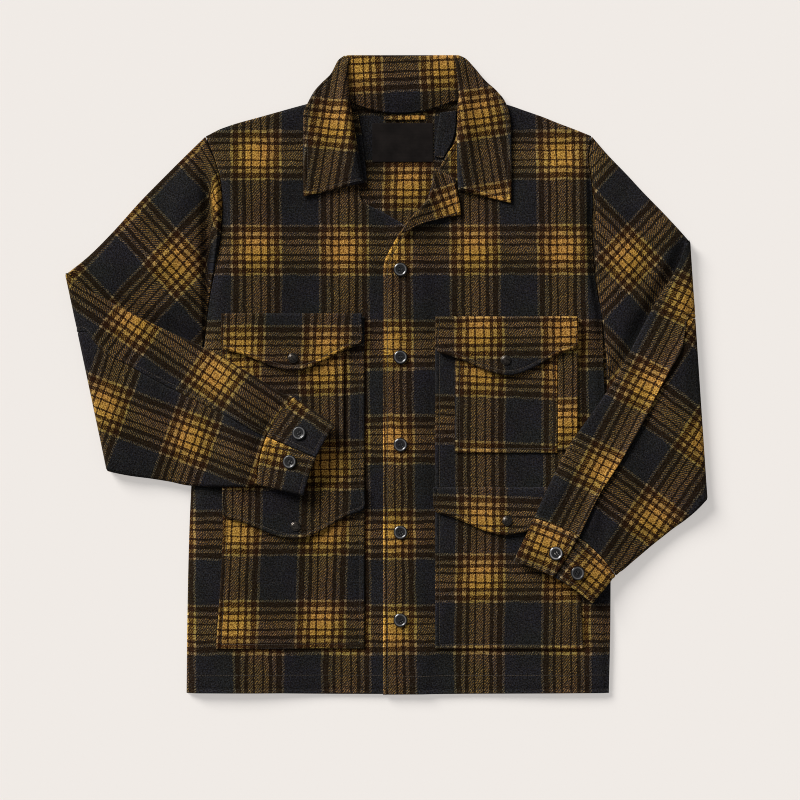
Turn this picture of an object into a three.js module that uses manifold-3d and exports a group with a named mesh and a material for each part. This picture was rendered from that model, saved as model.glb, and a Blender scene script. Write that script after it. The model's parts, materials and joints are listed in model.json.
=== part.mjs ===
// A plaid wool mackinaw jacket, buttoned, laid flat on its back with both sleeves folded at the elbow
// over the front. Millimetres, +Z up, +Y towards the collar, +X to the right of someone looking down
// at it. The origin is on the surface under the jacket, on its centre line. Left and right in the
// names are the wearer's, so the left front is at +X.
import * as THREE from "three";
import { mergeVertices } from "three/addons/utils/BufferGeometryUtils.js";
import Module from "manifold-3d";

// Driving sizes
const CLOTH = 2.5; // one layer of heavy wool
const DOUBLE = 4.0; // two layers sewn and pressed, as in flaps and collar
const CUFF_WALL = 3.2; // folded cuff
const SEAM = 0.3; // gap between two pieces
const ARMHOLE_GAP = 0.8; // gap along the curved armhole seam
const HEM_Y = -380;
const OVERLAP_EDGE = 25; // the right front ends here, under the left front
const FREE_EDGE = -22; // the left front's buttoned edge
const BUTTON_X = 0.6;
const TOP_BUTTON_Y = 169;
const BUTTON_PITCH = 113.5;
const FRONT_BUTTONS = 5;
const BUTTON_RADIUS = 9;
const SNAP_RADIUS = 6.5;
const NECK_Y = 372.5; // centre of the back neck seam
const NECK_HALF = 75; // from the centre line to the shoulder's neck end
const NECK_RISE = 19.5; // how far the neck seam climbs to the shoulders
const COLLAR_TOP = 447.5;
const SLEEVE_THICK = 8; // both layers of a sleeve and the air between them at the elbow
const ARMHOLE_THICK = 5.3;
const FOREARM_THICK = 7;
const CUFF_THICK = 7.6;
const FOLD_SPARE = 0.5; // radius left inside the elbow fold

const PLAID = { color: 0x8a6a2c, roughness: 0.95, metalness: 0 };
const LABEL_CLOTH = { color: 0x23252a, roughness: 0.8, metalness: 0 };
const HORN = { color: 0x1c1a1a, roughness: 0.4, metalness: 0 };
const DARK_METAL = { color: 0x2a2622, roughness: 0.45, metalness: 0.7 };

const jacket = new THREE.Group();

// Small helpers
const mix = (a, b, t) => a + (b - a) * t;
const clamp01 = (t) => Math.min(1, Math.max(0, t));
const smooth = (t) => clamp01(t) ** 2 * (3 - 2 * clamp01(t));
const between = (p, q, t) => [mix(p[0], q[0], t), mix(p[1], q[1], t)];

// The value of a table's column at a share of its length, straight between rows
function column(values, share) {
  const place = clamp01(share) * (values.length - 1);
  const row = Math.min(values.length - 2, Math.floor(place));
  return mix(values[row], values[row + 1], place - row);
}

function add(name, geometry, look, place = [0, 0, 0]) {
  const mesh = new THREE.Mesh(geometry, new THREE.MeshStandardMaterial(look));
  mesh.name = name;
  mesh.position.set(...place);
  jacket.add(mesh);
}

function fromFaces(points, faces) {
  const geometry = new THREE.BufferGeometry();
  const [a, b, c] = [new THREE.Vector3(), new THREE.Vector3(), new THREE.Vector3()];
  let volume = 0;
  for (let i = 0; i < faces.length; i += 3) {
    a.set(...points[faces[i]]);
    b.set(...points[faces[i + 1]]);
    c.set(...points[faces[i + 2]]);
    volume += a.dot(b.cross(c));
  }
  const outward = volume > 0 ? faces : [...faces].reverse();
  geometry.setAttribute("position", new THREE.Float32BufferAttribute(points.flat(), 3));
  geometry.setIndex(outward);
  return geometry;
}

// A cloth wall: two grids of points, one for each face, closed along their four edges
function wall(face, lining) {
  const rows = face.length;
  const cols = face[0].length;
  const points = [...face.flat(), ...lining.flat()];
  const at = (side, r, c) => side * rows * cols + r * cols + c;
  const faces = [];
  const quad = (a, b, c, d) => faces.push(a, b, c, a, c, d);
  for (let r = 0; r < rows - 1; r++) {
    for (let c = 0; c < cols - 1; c++) {
      quad(at(0, r, c), at(0, r, c + 1), at(0, r + 1, c + 1), at(0, r + 1, c));
      quad(at(1, r, c), at(1, r + 1, c), at(1, r + 1, c + 1), at(1, r, c + 1));
    }
  }
  const [lastRow, lastCol] = [rows - 1, cols - 1];
  for (let c = 0; c < lastCol; c++) {
    quad(at(0, 0, c + 1), at(0, 0, c), at(1, 0, c), at(1, 0, c + 1));
    quad(at(0, lastRow, c), at(0, lastRow, c + 1), at(1, lastRow, c + 1), at(1, lastRow, c));
  }
  for (let r = 0; r < lastRow; r++) {
    quad(at(0, r, 0), at(0, r + 1, 0), at(1, r + 1, 0), at(1, r, 0));
    quad(at(0, r + 1, lastCol), at(0, r, lastCol), at(1, r, lastCol), at(1, r + 1, lastCol));
  }
  return fromFaces(points, faces);
}

// A flat-lying panel: straight rows from the points of one side edge to those of the other. shares
// gives where the points of a row between two ends lie, under(x, y) the height of its lower face, and
// topRise how far the points of the first row stand above it.
function panel(sideA, sideB, shares, under, thick = CLOTH, topRise = () => 0) {
  const grid = sideA.map((a, row) => shares(a, sideB[row]).map((share) => {
    const [x, y] = between(a, sideB[row], share);
    return [x, row ? y : y + topRise(share)];
  }));
  const lower = grid.map((row) => row.map(([x, y]) => [x, y, under(x, y)]));
  const upper = grid.map((row) => row.map(([x, y]) => [x, y, under(x, y) + thick]));
  return wall(upper, lower);
}

const even = (count) => () => Array.from({ length: count + 1 }, (_, i) => i / count);

// The layers over the back. puff is the soft unevenness of the front, which all that lies on it follows.
const puff = (x, y) => 0.6 * (1 + Math.sin(x / 38 + 1) * Math.cos(y / 52));
const LAYER = CLOTH + SEAM;
const RAMP_TOP = 30; // the left front is down off the right front's edge between these two
const RAMP_FOOT = 44;
const overlapLift = (x) => LAYER * clamp01((RAMP_FOOT - x) / (RAMP_FOOT - RAMP_TOP));
const rightFrontUnder = (x, y) => LAYER + puff(x, y);
const leftFrontUnder = (x, y) => LAYER + puff(x, y) + overlapLift(x);
const frontTop = (x, y) => leftFrontUnder(x, y) + CLOTH;
const rightFrontTop = (x, y) => rightFrontUnder(x, y) + CLOTH;
const topOn = { right: rightFrontTop, left: frontTop };
// The lower face of what lies on a front with this many layers of pocket cloth under it
const onFront = (side, layers) => (x, y) => topOn[side](x, y) + SEAM + layers * LAYER;

// Armholes, from the shoulder to the underarm: how far each point stands in from the straight line
// between the two ends, at these shares of its length
const ARMHOLE_SHARES = [0, 0.125, 0.25, 0.375, 0.5, 0.625, 0.75, 0.875, 1];
const ARMHOLE = {
  right: { top: [-252, 342], bottom: [-252, 88], inset: [0, 12.5, 20.5, 22, 20, 14.5, 8.5, 3.5, 0] },
  left: { top: [248, 342.5], bottom: [262, 108], inset: [0, 5.5, 3, 3, 6, 6.5, 6, 3.5, 0] },
};
const outward = { right: -1, left: 1 };

function armholePoint(side, share, fade = 1) {
  const { top, bottom, inset } = ARMHOLE[side];
  const [x, y] = between(top, bottom, share);
  return [x - outward[side] * column(inset, share) * fade, y];
}

const armhole = (side) => ARMHOLE_SHARES.map((share) => armholePoint(side, share));

// Side seams below the armholes, and the front edges, row by row down to the hem
const SIDE_SEAM = {
  right: [[-256, 50], [-261, 5], [-266, -50], [-271, -115], [-274, -190], [-276, -285], [-277, HEM_Y]],
  left: [[264, 50], [266, 5], [269, -50], [271.5, -115], [273.5, -190], [273, -285], [271, HEM_Y]],
};
const RIGHT_FRONT_EDGE = [
  [-NECK_HALF, 392], [-72, 358], [-65, 325], [-56, 298], [-51, 262], [-21, 243], [6, 227],
  [OVERLAP_EDGE, 214], [OVERLAP_EDGE, 150], [OVERLAP_EDGE, 95], [OVERLAP_EDGE, 35],
  [OVERLAP_EDGE, -35], [OVERLAP_EDGE, -110], [OVERLAP_EDGE, -190], [OVERLAP_EDGE, -285],
  [OVERLAP_EDGE, HEM_Y - 1],
];
const LEFT_FRONT_EDGE = [
  [NECK_HALF, 392], [73, 345], [57, 312], [43, 285], [34, 258], [21, 243], [7, 227], [-9, 202],
  [FREE_EDGE, 168], [FREE_EDGE, 100], [FREE_EDGE, 35], [FREE_EDGE, -35], [FREE_EDGE, -110],
  [FREE_EDGE, -190], [FREE_EDGE, -285], [FREE_EDGE, HEM_Y - 2],
];

function neckSeam(x) {
  return NECK_Y + NECK_RISE * (x / NECK_HALF) ** 2;
}

// Shoulders, from the neck to the armhole: how far each point stands above the straight line
const SHOULDER = {
  right: [0, 3, 5, 5.2, 5.2, 5.2, 5.5, 4.5, 0],
  left: [0, 3.5, 7.5, 9.5, 8.3, 7, 4.5, 2.5, 0],
};
const shoulderRise = (side) => (share) => column(SHOULDER[side], share);

function shoulder(side) {
  const neck = [outward[side] * NECK_HALF, neckSeam(NECK_HALF)];
  return ARMHOLE_SHARES.slice(1, -1).map((share) => {
    const [x, y] = between(neck, ARMHOLE[side].top, share);
    return [x, y + shoulderRise(side)(share)];
  });
}

// Back: one piece, flat on the surface

function backPanel() {
  const sideOf = (side) => [...armhole(side), ...SIDE_SEAM[side]];
  const neck = Array.from({ length: 9 }, (_, i) => mix(-NECK_HALF, NECK_HALF, i / 8));
  const outline = new THREE.Shape();
  const corners = [
    ...sideOf("right").reverse(),
    ...shoulder("right").reverse(),
    ...neck.map((x) => [x, neckSeam(x)]),
    ...shoulder("left"),
    ...sideOf("left"),
    [0, HEM_Y - 2],
  ];
  corners.forEach(([x, y], i) => (i ? outline.lineTo(x, y) : outline.moveTo(x, y)));
  outline.closePath();
  return new THREE.ExtrudeGeometry(outline, { depth: CLOTH, bevelEnabled: false });
}

add("back", backPanel(), PLAID);

// Fronts
const FRONT_COLUMNS = 10;
const rightOuter = [...armhole("right"), ...SIDE_SEAM.right];
const rightFront = panel(
  RIGHT_FRONT_EDGE, rightOuter, even(FRONT_COLUMNS), rightFrontUnder, CLOTH, shoulderRise("right"),
);
add("right_front", rightFront, PLAID);

// Two of the first columns stand at the top and the foot of the ramp beside the overlap
const OUTER_COLUMNS = 7;
function leftFrontShares([edgeX], [outerX]) {
  const top = Math.max(RAMP_TOP, edgeX + 12);
  const foot = Math.max(RAMP_FOOT, edgeX + 24);
  const inner = [edgeX, mix(edgeX, top, 0.4), mix(edgeX, top, 0.7), top, foot];
  const rest = even(OUTER_COLUMNS)().slice(1).map((t) => mix(foot, outerX, t));
  return [...inner, ...rest].map((x) => (x - edgeX) / (outerX - edgeX));
}
const leftOuter = [...armhole("left"), ...SIDE_SEAM.left];
const leftFront = panel(
  LEFT_FRONT_EDGE, leftOuter, leftFrontShares, leftFrontUnder, CLOTH, shoulderRise("left"),
);
add("left_front", leftFront, PLAID);

// Turned lapel of the left front: the front's own cloth and its facing, from the roll to the edge
const LAPEL = [
  { roll: [0.5, 214.5], edge: [6, 217] },
  { roll: [7, 227], edge: [31, 229] },
  { roll: [16, 238], edge: [62, 237] },
  { roll: [27, 250], edge: [79, 241] },
  { roll: [39, 268], edge: [77, 258] },
  { roll: [42, 288], edge: [74.5, 270] },
  { roll: [45, 300], edge: [72, 287] },
];
const LAPEL_THICK = CLOTH * 2;
const ROLL_RISE = 1.6; // the roll isn't pressed flat, so the lapel stands off the front beside it
const lapelUnder = (x, y) => onFront("left", 0)(x, y) + ROLL_RISE * smooth((75 - x) / 30);
const lapel = panel(LAPEL.map((r) => r.roll), LAPEL.map((r) => r.edge), even(4), lapelUnder, LAPEL_THICK);
add("left_lapel", lapel, PLAID);

// Facings inside the neck, sewn to the fronts' neck edges and lying on the inside of the back
const NECK_FACING = {
  right: [
    { seam: [-73.3, 376], edge: [-55, 373] }, { seam: [-71, 357], edge: [-51, 355] },
    { seam: [-64, 325], edge: [-47, 325] }, { seam: [-55, 299], edge: [-44, 299] },
    { seam: [-50.5, 276], edge: [-42, 276] },
  ],
  left: [
    { seam: [73.5, 376], edge: [52, 373] }, { seam: [72, 350], edge: [48, 350] },
    { seam: [68, 336], edge: [46, 333] }, { seam: [56, 313.5], edge: [44.5, 316] },
  ],
};
for (const side of ["right", "left"]) {
  const rows = NECK_FACING[side];
  const strip = panel(rows.map((r) => r.seam), rows.map((r) => r.edge), even(2), () => LAYER);
  add(`${side}_neck_facing`, strip, PLAID);
}

// Bare woven label and the hanger loop, on the inside of the back
function plate(x0, x1, y0, y1, z0, thick) {
  const geometry = new THREE.BoxGeometry(x1 - x0, y1 - y0, thick);
  return geometry.translate((x0 + x1) / 2, (y0 + y1) / 2, z0 + thick / 2);
}
const LABEL = { left: -36, right: 43, bottom: 309, top: 359.5, thick: 0.9 };
add("label", plate(LABEL.left, LABEL.right, LABEL.bottom, LABEL.top, LAYER, LABEL.thick), LABEL_CLOTH);
const LOOP = { left: -21, right: 33, bottom: 360.3, top: 366.6, thick: 1.8 };
add("hanger_loop", plate(LOOP.left, LOOP.right, LOOP.bottom, LOOP.top, LAYER, LOOP.thick), PLAID);

// Pockets. Each row of a panel's table is one level down the pocket.
const POCKET_PANEL = {
  right: [
    { y: 108, from: -231, to: -46 }, { y: 40, from: -230, to: -46 }, { y: -30, from: -229.5, to: -46 },
    { y: -100, from: -229, to: -46 }, { y: -170, from: -229.5, to: -46 }, { y: -240, from: -232.5, to: -46 },
    { y: -322, from: -238, to: -46 },
  ],
  left: [
    { y: 106, from: 45.5, to: 231 }, { y: 40, from: 45.5, to: 231 }, { y: -30, from: 45.5, to: 230 },
    { y: -100, from: 45.5, to: 230 }, { y: -170, from: 45.5, to: 231 }, { y: -240, from: 45.5, to: 233.5 },
    { y: -323, from: 45.5, to: 237 },
  ],
};
const CHEST_POCKET = {
  right: { from: -205, to: -72, top: 100, bottom: -68.5 },
  left: { from: 71, to: 203.8, top: 100, bottom: -68.5 },
};
const PEN_POCKET = { from: 204.1, to: 229.5, top: 100, bottom: -65 };

function patch(side, level, { from, to, top, bottom }, rows, cols) {
  const levels = even(rows)().map((share) => mix(top, bottom, share));
  return panel(levels.map((y) => [from, y]), levels.map((y) => [to, y]), even(cols), onFront(side, level));
}

for (const side of ["right", "left"]) {
  const rows = POCKET_PANEL[side];
  const [from, to] = [rows.map((r) => [r.from, r.y]), rows.map((r) => [r.to, r.y])];
  add(`${side}_pocket_panel`, panel(from, to, even(7), onFront(side, 0)), PLAID);
  add(`${side}_chest_pocket`, patch(side, 1, CHEST_POCKET[side], 6, 5), PLAID);
}
add("left_pen_pocket", patch("left", 1, PEN_POCKET, 6, 1), PLAID);

// Pocket flaps: straight along the top, with a rounded point below between two rounded corners
const FLAP = {
  right_chest_flap: {
    side: "right", layers: 2, from: -231, to: -48.5, top: 112, corners: [64, 70], point: [-136.5, 38],
  },
  left_chest_flap: {
    side: "left", layers: 2, from: 45.5, to: 230, top: 108, corners: [60, 65], point: [140, 32],
  },
  right_lower_flap: {
    side: "right", layers: 1, from: -230, to: -45.5, top: -110.5, corners: [-153, -145], point: [-135, -180],
  },
  left_lower_flap: {
    side: "left", layers: 1, from: 42.8, to: 229, top: -112.7, corners: [-147, -150], point: [137, -175],
  },
};
const FLAP_SHARES = [0, 0.025, 0.12, 0.24, 0.37, 0.5, 0.63, 0.76, 0.88, 0.975, 1];
const FLAP_CORNER = 7; // how much higher the side ends than the corner beside it
const FLAP_ROWS = 3;

function flapBottom({ from, to, corners, point }, share) {
  const x = mix(from, to, share);
  const [start, edge] = x < point[0] ? [from, corners[0]] : [to, corners[1]];
  const y = mix(edge, point[1], smooth((x - start) / (point[0] - start)));
  return share === 0 || share === 1 ? y + FLAP_CORNER : y;
}

for (const [name, flap] of Object.entries(FLAP)) {
  const top = FLAP_SHARES.map((share) => [mix(flap.from, flap.to, share), flap.top]);
  const bottom = FLAP_SHARES.map((share) => [mix(flap.from, flap.to, share), flapBottom(flap, share)]);
  add(name, panel(top, bottom, even(FLAP_ROWS), onFront(flap.side, flap.layers), DOUBLE), PLAID);
}

// Sleeves. Each is a flattened tube, from the armhole over the elbow fold to the cuff. Its outer edge
// continues the shoulder and its inner edge the underarm. Forearm rows give the height of the lower
// face at the outer edge, the middle and the inner edge: it lies on the upper arm and on the front,
// and sags towards the surface between them.
const SLEEVE = {
  right: {
    outerEdge: [[-252, 342], [-279.5, 316], [-305, 290.5], [-331, 264], [-375, 215.5], [-407, 184]],
    underarm: [[-252, 88], [-259.5, 58], [-275, 29]],
    fold: { outer: [-434, 163.5], inner: [-380, -92] },
    seam: [0.3, 0.48],
    forearm: [
      { outer: [-400, 141], inner: [-352, -98], lift: [9, 9, 7] },
      { outer: [-361, 120], inner: [-323, -102], lift: [9, 8.5, 5] },
      { outer: [-312, 95], inner: [-298, -106], lift: [9.2, 8.5, 5.5] },
      { outer: [-266, 74], inner: [-272, -111], lift: [10, 10, 8] },
      { outer: [-228, 55], inner: [-245, -112], lift: [11, 12, 11] },
      { outer: [-187, 30], inner: [-215, -112], lift: [12.6, 12.8, 13.4] },
      { outer: [-152, 9], inner: [-195, -112], lift: [12.8, 12.8, 13.8] },
      { outer: [-138, 4.4], inner: [-184, -110], lift: [12.8, 12.8, 13.8] },
    ],
    cuff: [
      { outer: [-84, -32], inner: [-124, -123], lift: [12.6, 12.6, 13.8] },
    ],
  },
  left: {
    outerEdge: [[248, 342.5], [270, 318], [295, 292], [318, 267], [340, 244.5], [361.5, 221.5]],
    underarm: [[262, 108], [270.4, 54], [273, 8]],
    fold: { outer: [376, 206.5], inner: [398.5, -129] },
    seam: [0.3, 0.48],
    forearm: [
      { outer: [352, 160], inner: [384, -143], lift: [9, 9, 7.5] },
      { outer: [334, 132], inner: [369, -156], lift: [9, 9, 5.5] },
      { outer: [316, 99], inner: [355, -166], lift: [9, 8, 4.5] },
      { outer: [296, 60], inner: [341, -177], lift: [9.2, 7.5, 4.5] },
      { outer: [272, 18], inner: [327, -188], lift: [10.5, 8, 5] },
      { outer: [245, -21], inner: [315, -198], lift: [12, 9.5, 6] },
      { outer: [215, -64], inner: [303, -208], lift: [13, 12, 7] },
      { outer: [193, -108], inner: [291, -218], lift: [13.8, 13.6, 8.5] },
      { outer: [173, -152], inner: [279, -227], lift: [13.8, 13.4, 10] },
    ],
    cuff: [
      { outer: [161, -177], inner: [265.5, -243], lift: [13.8, 12.6, 10] },
      { outer: [146, -208], inner: [248, -263], lift: [11.5, 11, 9.5] },
    ],
  },
};
const FOLD_CENTRE = SLEEVE_THICK + FOLD_SPARE; // height of the fold's axis
const FOLD_STEPS = 6;

// The place of a point across a row, from the outer edge to the inner, at a height w through the
// sleeve: 0 is the side that lies down on the upper arm and up on the forearm
const flatRow = (outer, inner, thick) => ({
  length: Math.hypot(inner[0] - outer[0], inner[1] - outer[1]),
  thick,
  at: (share, w) => [...between(outer, inner, share), w],
});

function turnedRow(outer, inner, away, angle) {
  return {
    length: Math.hypot(inner[0] - outer[0], inner[1] - outer[1]),
    thick: SLEEVE_THICK,
    at: (share, w) => {
      const radius = FOLD_CENTRE - w;
      const [x, y] = between(outer, inner, share);
      const out = radius * Math.sin(angle);
      return [x + away[0] * out, y + away[1] * out, FOLD_CENTRE - radius * Math.cos(angle)];
    },
  };
}

// Through the heights at the outer edge, the middle and the inner edge
function liftAt([outer, middle, inner], share) {
  const rest = 1 - share;
  return outer * rest * (1 - 2 * share) + middle * 4 * share * rest + inner * share * (2 * share - 1);
}

const liftedRow = ({ outer, inner, lift }, thick) => ({
  length: Math.hypot(inner[0] - outer[0], inner[1] - outer[1]),
  thick,
  at: (share, w) => [...between(outer, inner, share), liftAt(lift, share) + thick - w],
});

// The fold's axis, moved in from the silhouette by the fold's own radius
function foldAxis({ outer, inner }, side) {
  const [dx, dy] = [inner[0] - outer[0], inner[1] - outer[1]];
  const length = Math.hypot(dx, dy);
  const sign = outward[side];
  const away = [(-dy / length) * sign, (dx / length) * sign];
  const moved = ([x, y]) => [x - away[0] * FOLD_CENTRE, y - away[1] * FOLD_CENTRE];
  return { outer: moved(outer), inner: moved(inner), away };
}

function sleeveRows(side) {
  const { outerEdge, underarm, fold, forearm } = SLEEVE[side];
  const axis = foldAxis(fold, side);
  const edge = [...outerEdge, axis.outer];
  const steps = edge.length - 1;
  const upper = edge.slice(0, -1).map((outer, i) => {
    const inner = underarm[i] ?? between(underarm[0], axis.inner, i / steps);
    const thick = mix(ARMHOLE_THICK, SLEEVE_THICK, smooth(i / steps));
    const row = flatRow(outer, inner, thick);
    const bow = (1 - i / steps) ** 2;
    const shift = i ? 0 : outward[side] * ARMHOLE_GAP;
    const at = (share, w) => {
      const inset = outward[side] * column(ARMHOLE[side].inset, share) * bow;
      const [x, y] = between(outer, inner, share);
      return [x - inset + shift, y, w];
    };
    return { ...row, at };
  });
  const turn = even(FOLD_STEPS)().map((t) => turnedRow(axis.outer, axis.inner, axis.away, t * Math.PI));
  const lower = forearm.map((row, i) => {
    const thick = mix(SLEEVE_THICK, FOREARM_THICK, (i + 1) / forearm.length);
    return liftedRow(row, thick);
  });
  return { rows: [...upper, ...turn, ...lower], firstForearm: upper.length + turn.length };
}

// Points round one row of a flattened tube with walls of this thickness. w is 0 on the seam side.
const EDGE_ANGLES = [45, 90, 135].map(THREE.MathUtils.degToRad);
function sidePoint(row, share, onSeamSide, wallThick) {
  const inset = row.thick / 2 / row.length;
  const place = Math.min(1 - inset, Math.max(inset, share));
  const [face, lining] = onSeamSide ? [0, wallThick] : [row.thick, row.thick - wallThick];
  return { face: row.at(place, face), lining: row.at(place, lining) };
}

function edgePoint(row, atOuter, angle, wallThick) {
  const half = row.thick / 2;
  const hollow = half - wallThick;
  const point = (radius) => {
    const inset = (half - radius * Math.sin(angle)) / row.length;
    return row.at(atOuter ? inset : 1 - inset, half - radius * Math.cos(angle));
  };
  return { face: point(half), lining: point(hollow) };
}

// A strip of the tube: its points on every row, as the two faces of a wall
function strip(rows, pointsOf) {
  const grid = rows.map((row, i) => pointsOf(row, i));
  const side = (name) => grid.map((points) => points.map((p) => p[name]));
  return wall(side("face"), side("lining"));
}

const INNER_SEAM_HALF = THREE.MathUtils.degToRad(4);
const TOP_SEAM_SHARES = [1, 0.66, 0.33, 0];
const UNDER_SHARES = [0, 0.17, 0.34, 0.5, 0.67, 0.84, 1];

function buildSleeve(side) {
  const { rows, firstForearm } = sleeveRows(side);
  const { seam, forearm } = SLEEVE[side];
  const seamAt = (i) => mix(seam[0], seam[1], clamp01((i - firstForearm + 1) / forearm.length));
  // The top sleeve wraps the outer edge, from the elbow seam round to the inner edge
  const topSleeve = strip(rows, (row, i) => {
    const end = seamAt(i) - SEAM / 2 / row.length;
    return [
      ...TOP_SEAM_SHARES.map((t) => sidePoint(row, end * t, true, CLOTH)),
      ...EDGE_ANGLES.map((angle) => edgePoint(row, true, angle, CLOTH)),
      ...ARMHOLE_SHARES.map((share) => sidePoint(row, share, false, CLOTH)),
      edgePoint(row, false, Math.PI - EDGE_ANGLES[0], CLOTH),
      edgePoint(row, false, Math.PI / 2 + INNER_SEAM_HALF, CLOTH),
    ];
  });
  // The under sleeve goes on from there, back to the elbow seam
  const underSleeve = strip(rows, (row, i) => {
    const start = seamAt(i) + SEAM / 2 / row.length;
    return [
      edgePoint(row, false, Math.PI / 2 - INNER_SEAM_HALF, CLOTH),
      edgePoint(row, false, EDGE_ANGLES[0], CLOTH),
      ...UNDER_SHARES.map((t) => sidePoint(row, mix(1, start, t), true, CLOTH)),
    ];
  });
  add(`${side}_top_sleeve`, topSleeve, PLAID);
  add(`${side}_under_sleeve`, underSleeve, PLAID);
}

// Cuffs: one band round the wrist, open at the elbow seam, where its two ends meet
const CUFF_SHARES = [0, 0.25, 0.5, 0.75, 1];
const CUFF_PARTS = [0, 0.5, 1];

function cuffRows(side) {
  const { forearm, cuff } = SLEEVE[side];
  const start = forearm.at(-1);
  const end = cuff[0];
  const length = Math.hypot(end.outer[0] - start.outer[0], end.outer[1] - start.outer[1]);
  const step = SEAM / length;
  const first = {
    outer: between(start.outer, end.outer, step),
    inner: between(start.inner, end.inner, step),
    lift: start.lift,
  };
  return [first, ...cuff].map((row) => liftedRow(row, CUFF_THICK));
}

function buildCuff(side) {
  const vent = SLEEVE[side].seam[1];
  const band = strip(cuffRows(side), (row) => {
    const half = SEAM / row.length;
    return [
      ...CUFF_PARTS.map((t) => sidePoint(row, mix(vent - half, 0, t), true, CUFF_WALL)),
      ...EDGE_ANGLES.map((angle) => edgePoint(row, true, angle, CUFF_WALL)),
      ...CUFF_SHARES.map((share) => sidePoint(row, share, false, CUFF_WALL)),
      ...[...EDGE_ANGLES].reverse().map((angle) => edgePoint(row, false, angle, CUFF_WALL)),
      ...CUFF_PARTS.map((t) => sidePoint(row, mix(1, vent + half, t), true, CUFF_WALL)),
    ];
  });
  add(`${side}_cuff`, band, PLAID);
}

for (const side of ["right", "left"]) {
  buildSleeve(side);
  buildCuff(side);
}

// Collar: a stand that lies back from the neck seam and a fall that turns over it. Over the back neck
// the fall is folded under, and at the sides each leaf lies on its front. A row runs from the roll to
// the leaf's outer edge: the height of its lower face there, and its thickness at the edge and roll.
const RIGHT_LEAF = [
  { roll: [-46, 281.5], edge: [-125, 263], under: 6, thin: 4, thick: 8.4 },
  { roll: [-50, 303], edge: [-125.5, 300], under: 6, thin: 4, thick: 8.6 },
  { roll: [-54, 325], edge: [-125.5, 347], under: 6, thin: 4, thick: 8.8 },
  { roll: [-58, 348], edge: [-125, 372], under: 6, thin: 4, thick: 8.8 },
  { roll: [-62, 371], edge: [-119.5, 385], under: 6, thin: 4.4, thick: 9 },
  { roll: [-65, 393], edge: [-112, 399], under: 6, thin: 5, thick: 9 },
  { roll: [-65.5, 406], edge: [-101, 412], under: 3, thin: 6.5, thick: 9.6 },
  { roll: [-66, 420], edge: [-90, 423], under: 1, thin: 7.4, thick: 10 },
  { roll: [-66, 434], edge: [-80, 441], under: 0, thin: 7.8, thick: 9.4 },
  { roll: [-62, 444], edge: [-72, 447], under: 0, thin: 7.8, thick: 8.6 },
];
const LEFT_LEAF = [
  { roll: [75.3, 272], edge: [144, 254.5], under: 6, thin: 4, thick: 8.4 },
  { roll: [74, 296], edge: [144.5, 292], under: 6, thin: 4, thick: 8.6 },
  { roll: [73.5, 318], edge: [144.5, 330], under: 6, thin: 4, thick: 8.8 },
  { roll: [74, 345], edge: [143.5, 360], under: 6, thin: 4, thick: 8.8 },
  { roll: [74, 371], edge: [137, 385], under: 6, thin: 4.4, thick: 9 },
  { roll: [76, 393], edge: [126, 400], under: 6, thin: 5, thick: 9 },
  { roll: [75, 406], edge: [111, 414], under: 3, thin: 6.5, thick: 9.6 },
  { roll: [73, 420], edge: [96, 432], under: 1, thin: 7.4, thick: 10 },
  { roll: [72, 434], edge: [85.5, 443], under: 0, thin: 7.8, thick: 9.4 },
  { roll: [68, 444], edge: [77, 447], under: 0, thin: 7.8, thick: 8.6 },
];
const LEAF_SHARES = [0, 0.06, 0.2, 0.45, 0.75, 1];
const ROLL_LEVEL = [0.55, 0.93, 1, 1, 1, 1]; // the roll's round edge, as a share of the height there
const PUFF_ROWS = 5; // so many rows lie on the front and follow it

function leaf(table) {
  const lower = [];
  const upper = [];
  table.forEach(({ roll, edge, under, thin, thick }, row) => {
    const places = LEAF_SHARES.map((share) => between(roll, edge, share));
    const base = ([x, y]) => under + (row < PUFF_ROWS ? puff(x, y) : 0);
    lower.push(places.map((p) => [...p, base(p)]));
    upper.push(places.map((p, i) => {
      const height = mix(thick, thin, smooth(LEAF_SHARES[i] * 1.6)) * ROLL_LEVEL[i];
      return [...p, base(p) + height];
    }));
  });
  return wall(upper, lower);
}

// The band over the back neck, as sections along X: the stand on top, the fold, and the fall below
const BAND = { from: -70, to: 74, sections: 8, foldRadius: 4.3, foldPoints: 4, fallEnd: 14, seamLap: 4 };
function backBand() {
  const { foldRadius, foldPoints, fallEnd, seamLap } = BAND;
  const foldY = COLLAR_TOP - foldRadius;
  const inside = foldRadius - DOUBLE;
  const face = [];
  const lining = [];
  for (const share of even(BAND.sections)()) {
    const x = mix(BAND.from, BAND.to, share);
    const seamY = neckSeam(Math.min(Math.abs(x), NECK_HALF - 5));
    const standUnder = DOUBLE + 2 * inside;
    const stand = [
      { y: seamY - seamLap, z: LAYER },
      { y: seamY + 1, z: LAYER },
      { y: seamY + fallEnd, z: standUnder },
      { y: mix(seamY + fallEnd, foldY, 0.5), z: standUnder },
    ];
    const turn = even(foldPoints)().map((t) => Math.PI * (0.5 - t));
    const onArc = (radius, a) => [x, foldY + radius * Math.cos(a), foldRadius + radius * Math.sin(a)];
    const arc = (radius) => turn.map((a) => onArc(radius, a));
    face.push([...stand.map((p) => [x, p.y, p.z + DOUBLE]), ...arc(foldRadius), [x, seamY + fallEnd, 0]]);
    lining.push([...stand.map((p) => [x, p.y, p.z]), ...arc(inside), [x, seamY + fallEnd, DOUBLE]]);
  }
  return wall(face, lining);
}

const wasm = await Module();
wasm.setup();

function toSolid(geometry) {
  const bare = geometry.clone();
  bare.deleteAttribute("normal");
  bare.deleteAttribute("uv");
  const merged = mergeVertices(bare, 1e-4);
  return new wasm.Manifold(new wasm.Mesh({
    numProp: 3,
    vertProperties: new Float32Array(merged.attributes.position.array),
    triVerts: new Uint32Array(merged.index.array),
  }));
}

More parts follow.
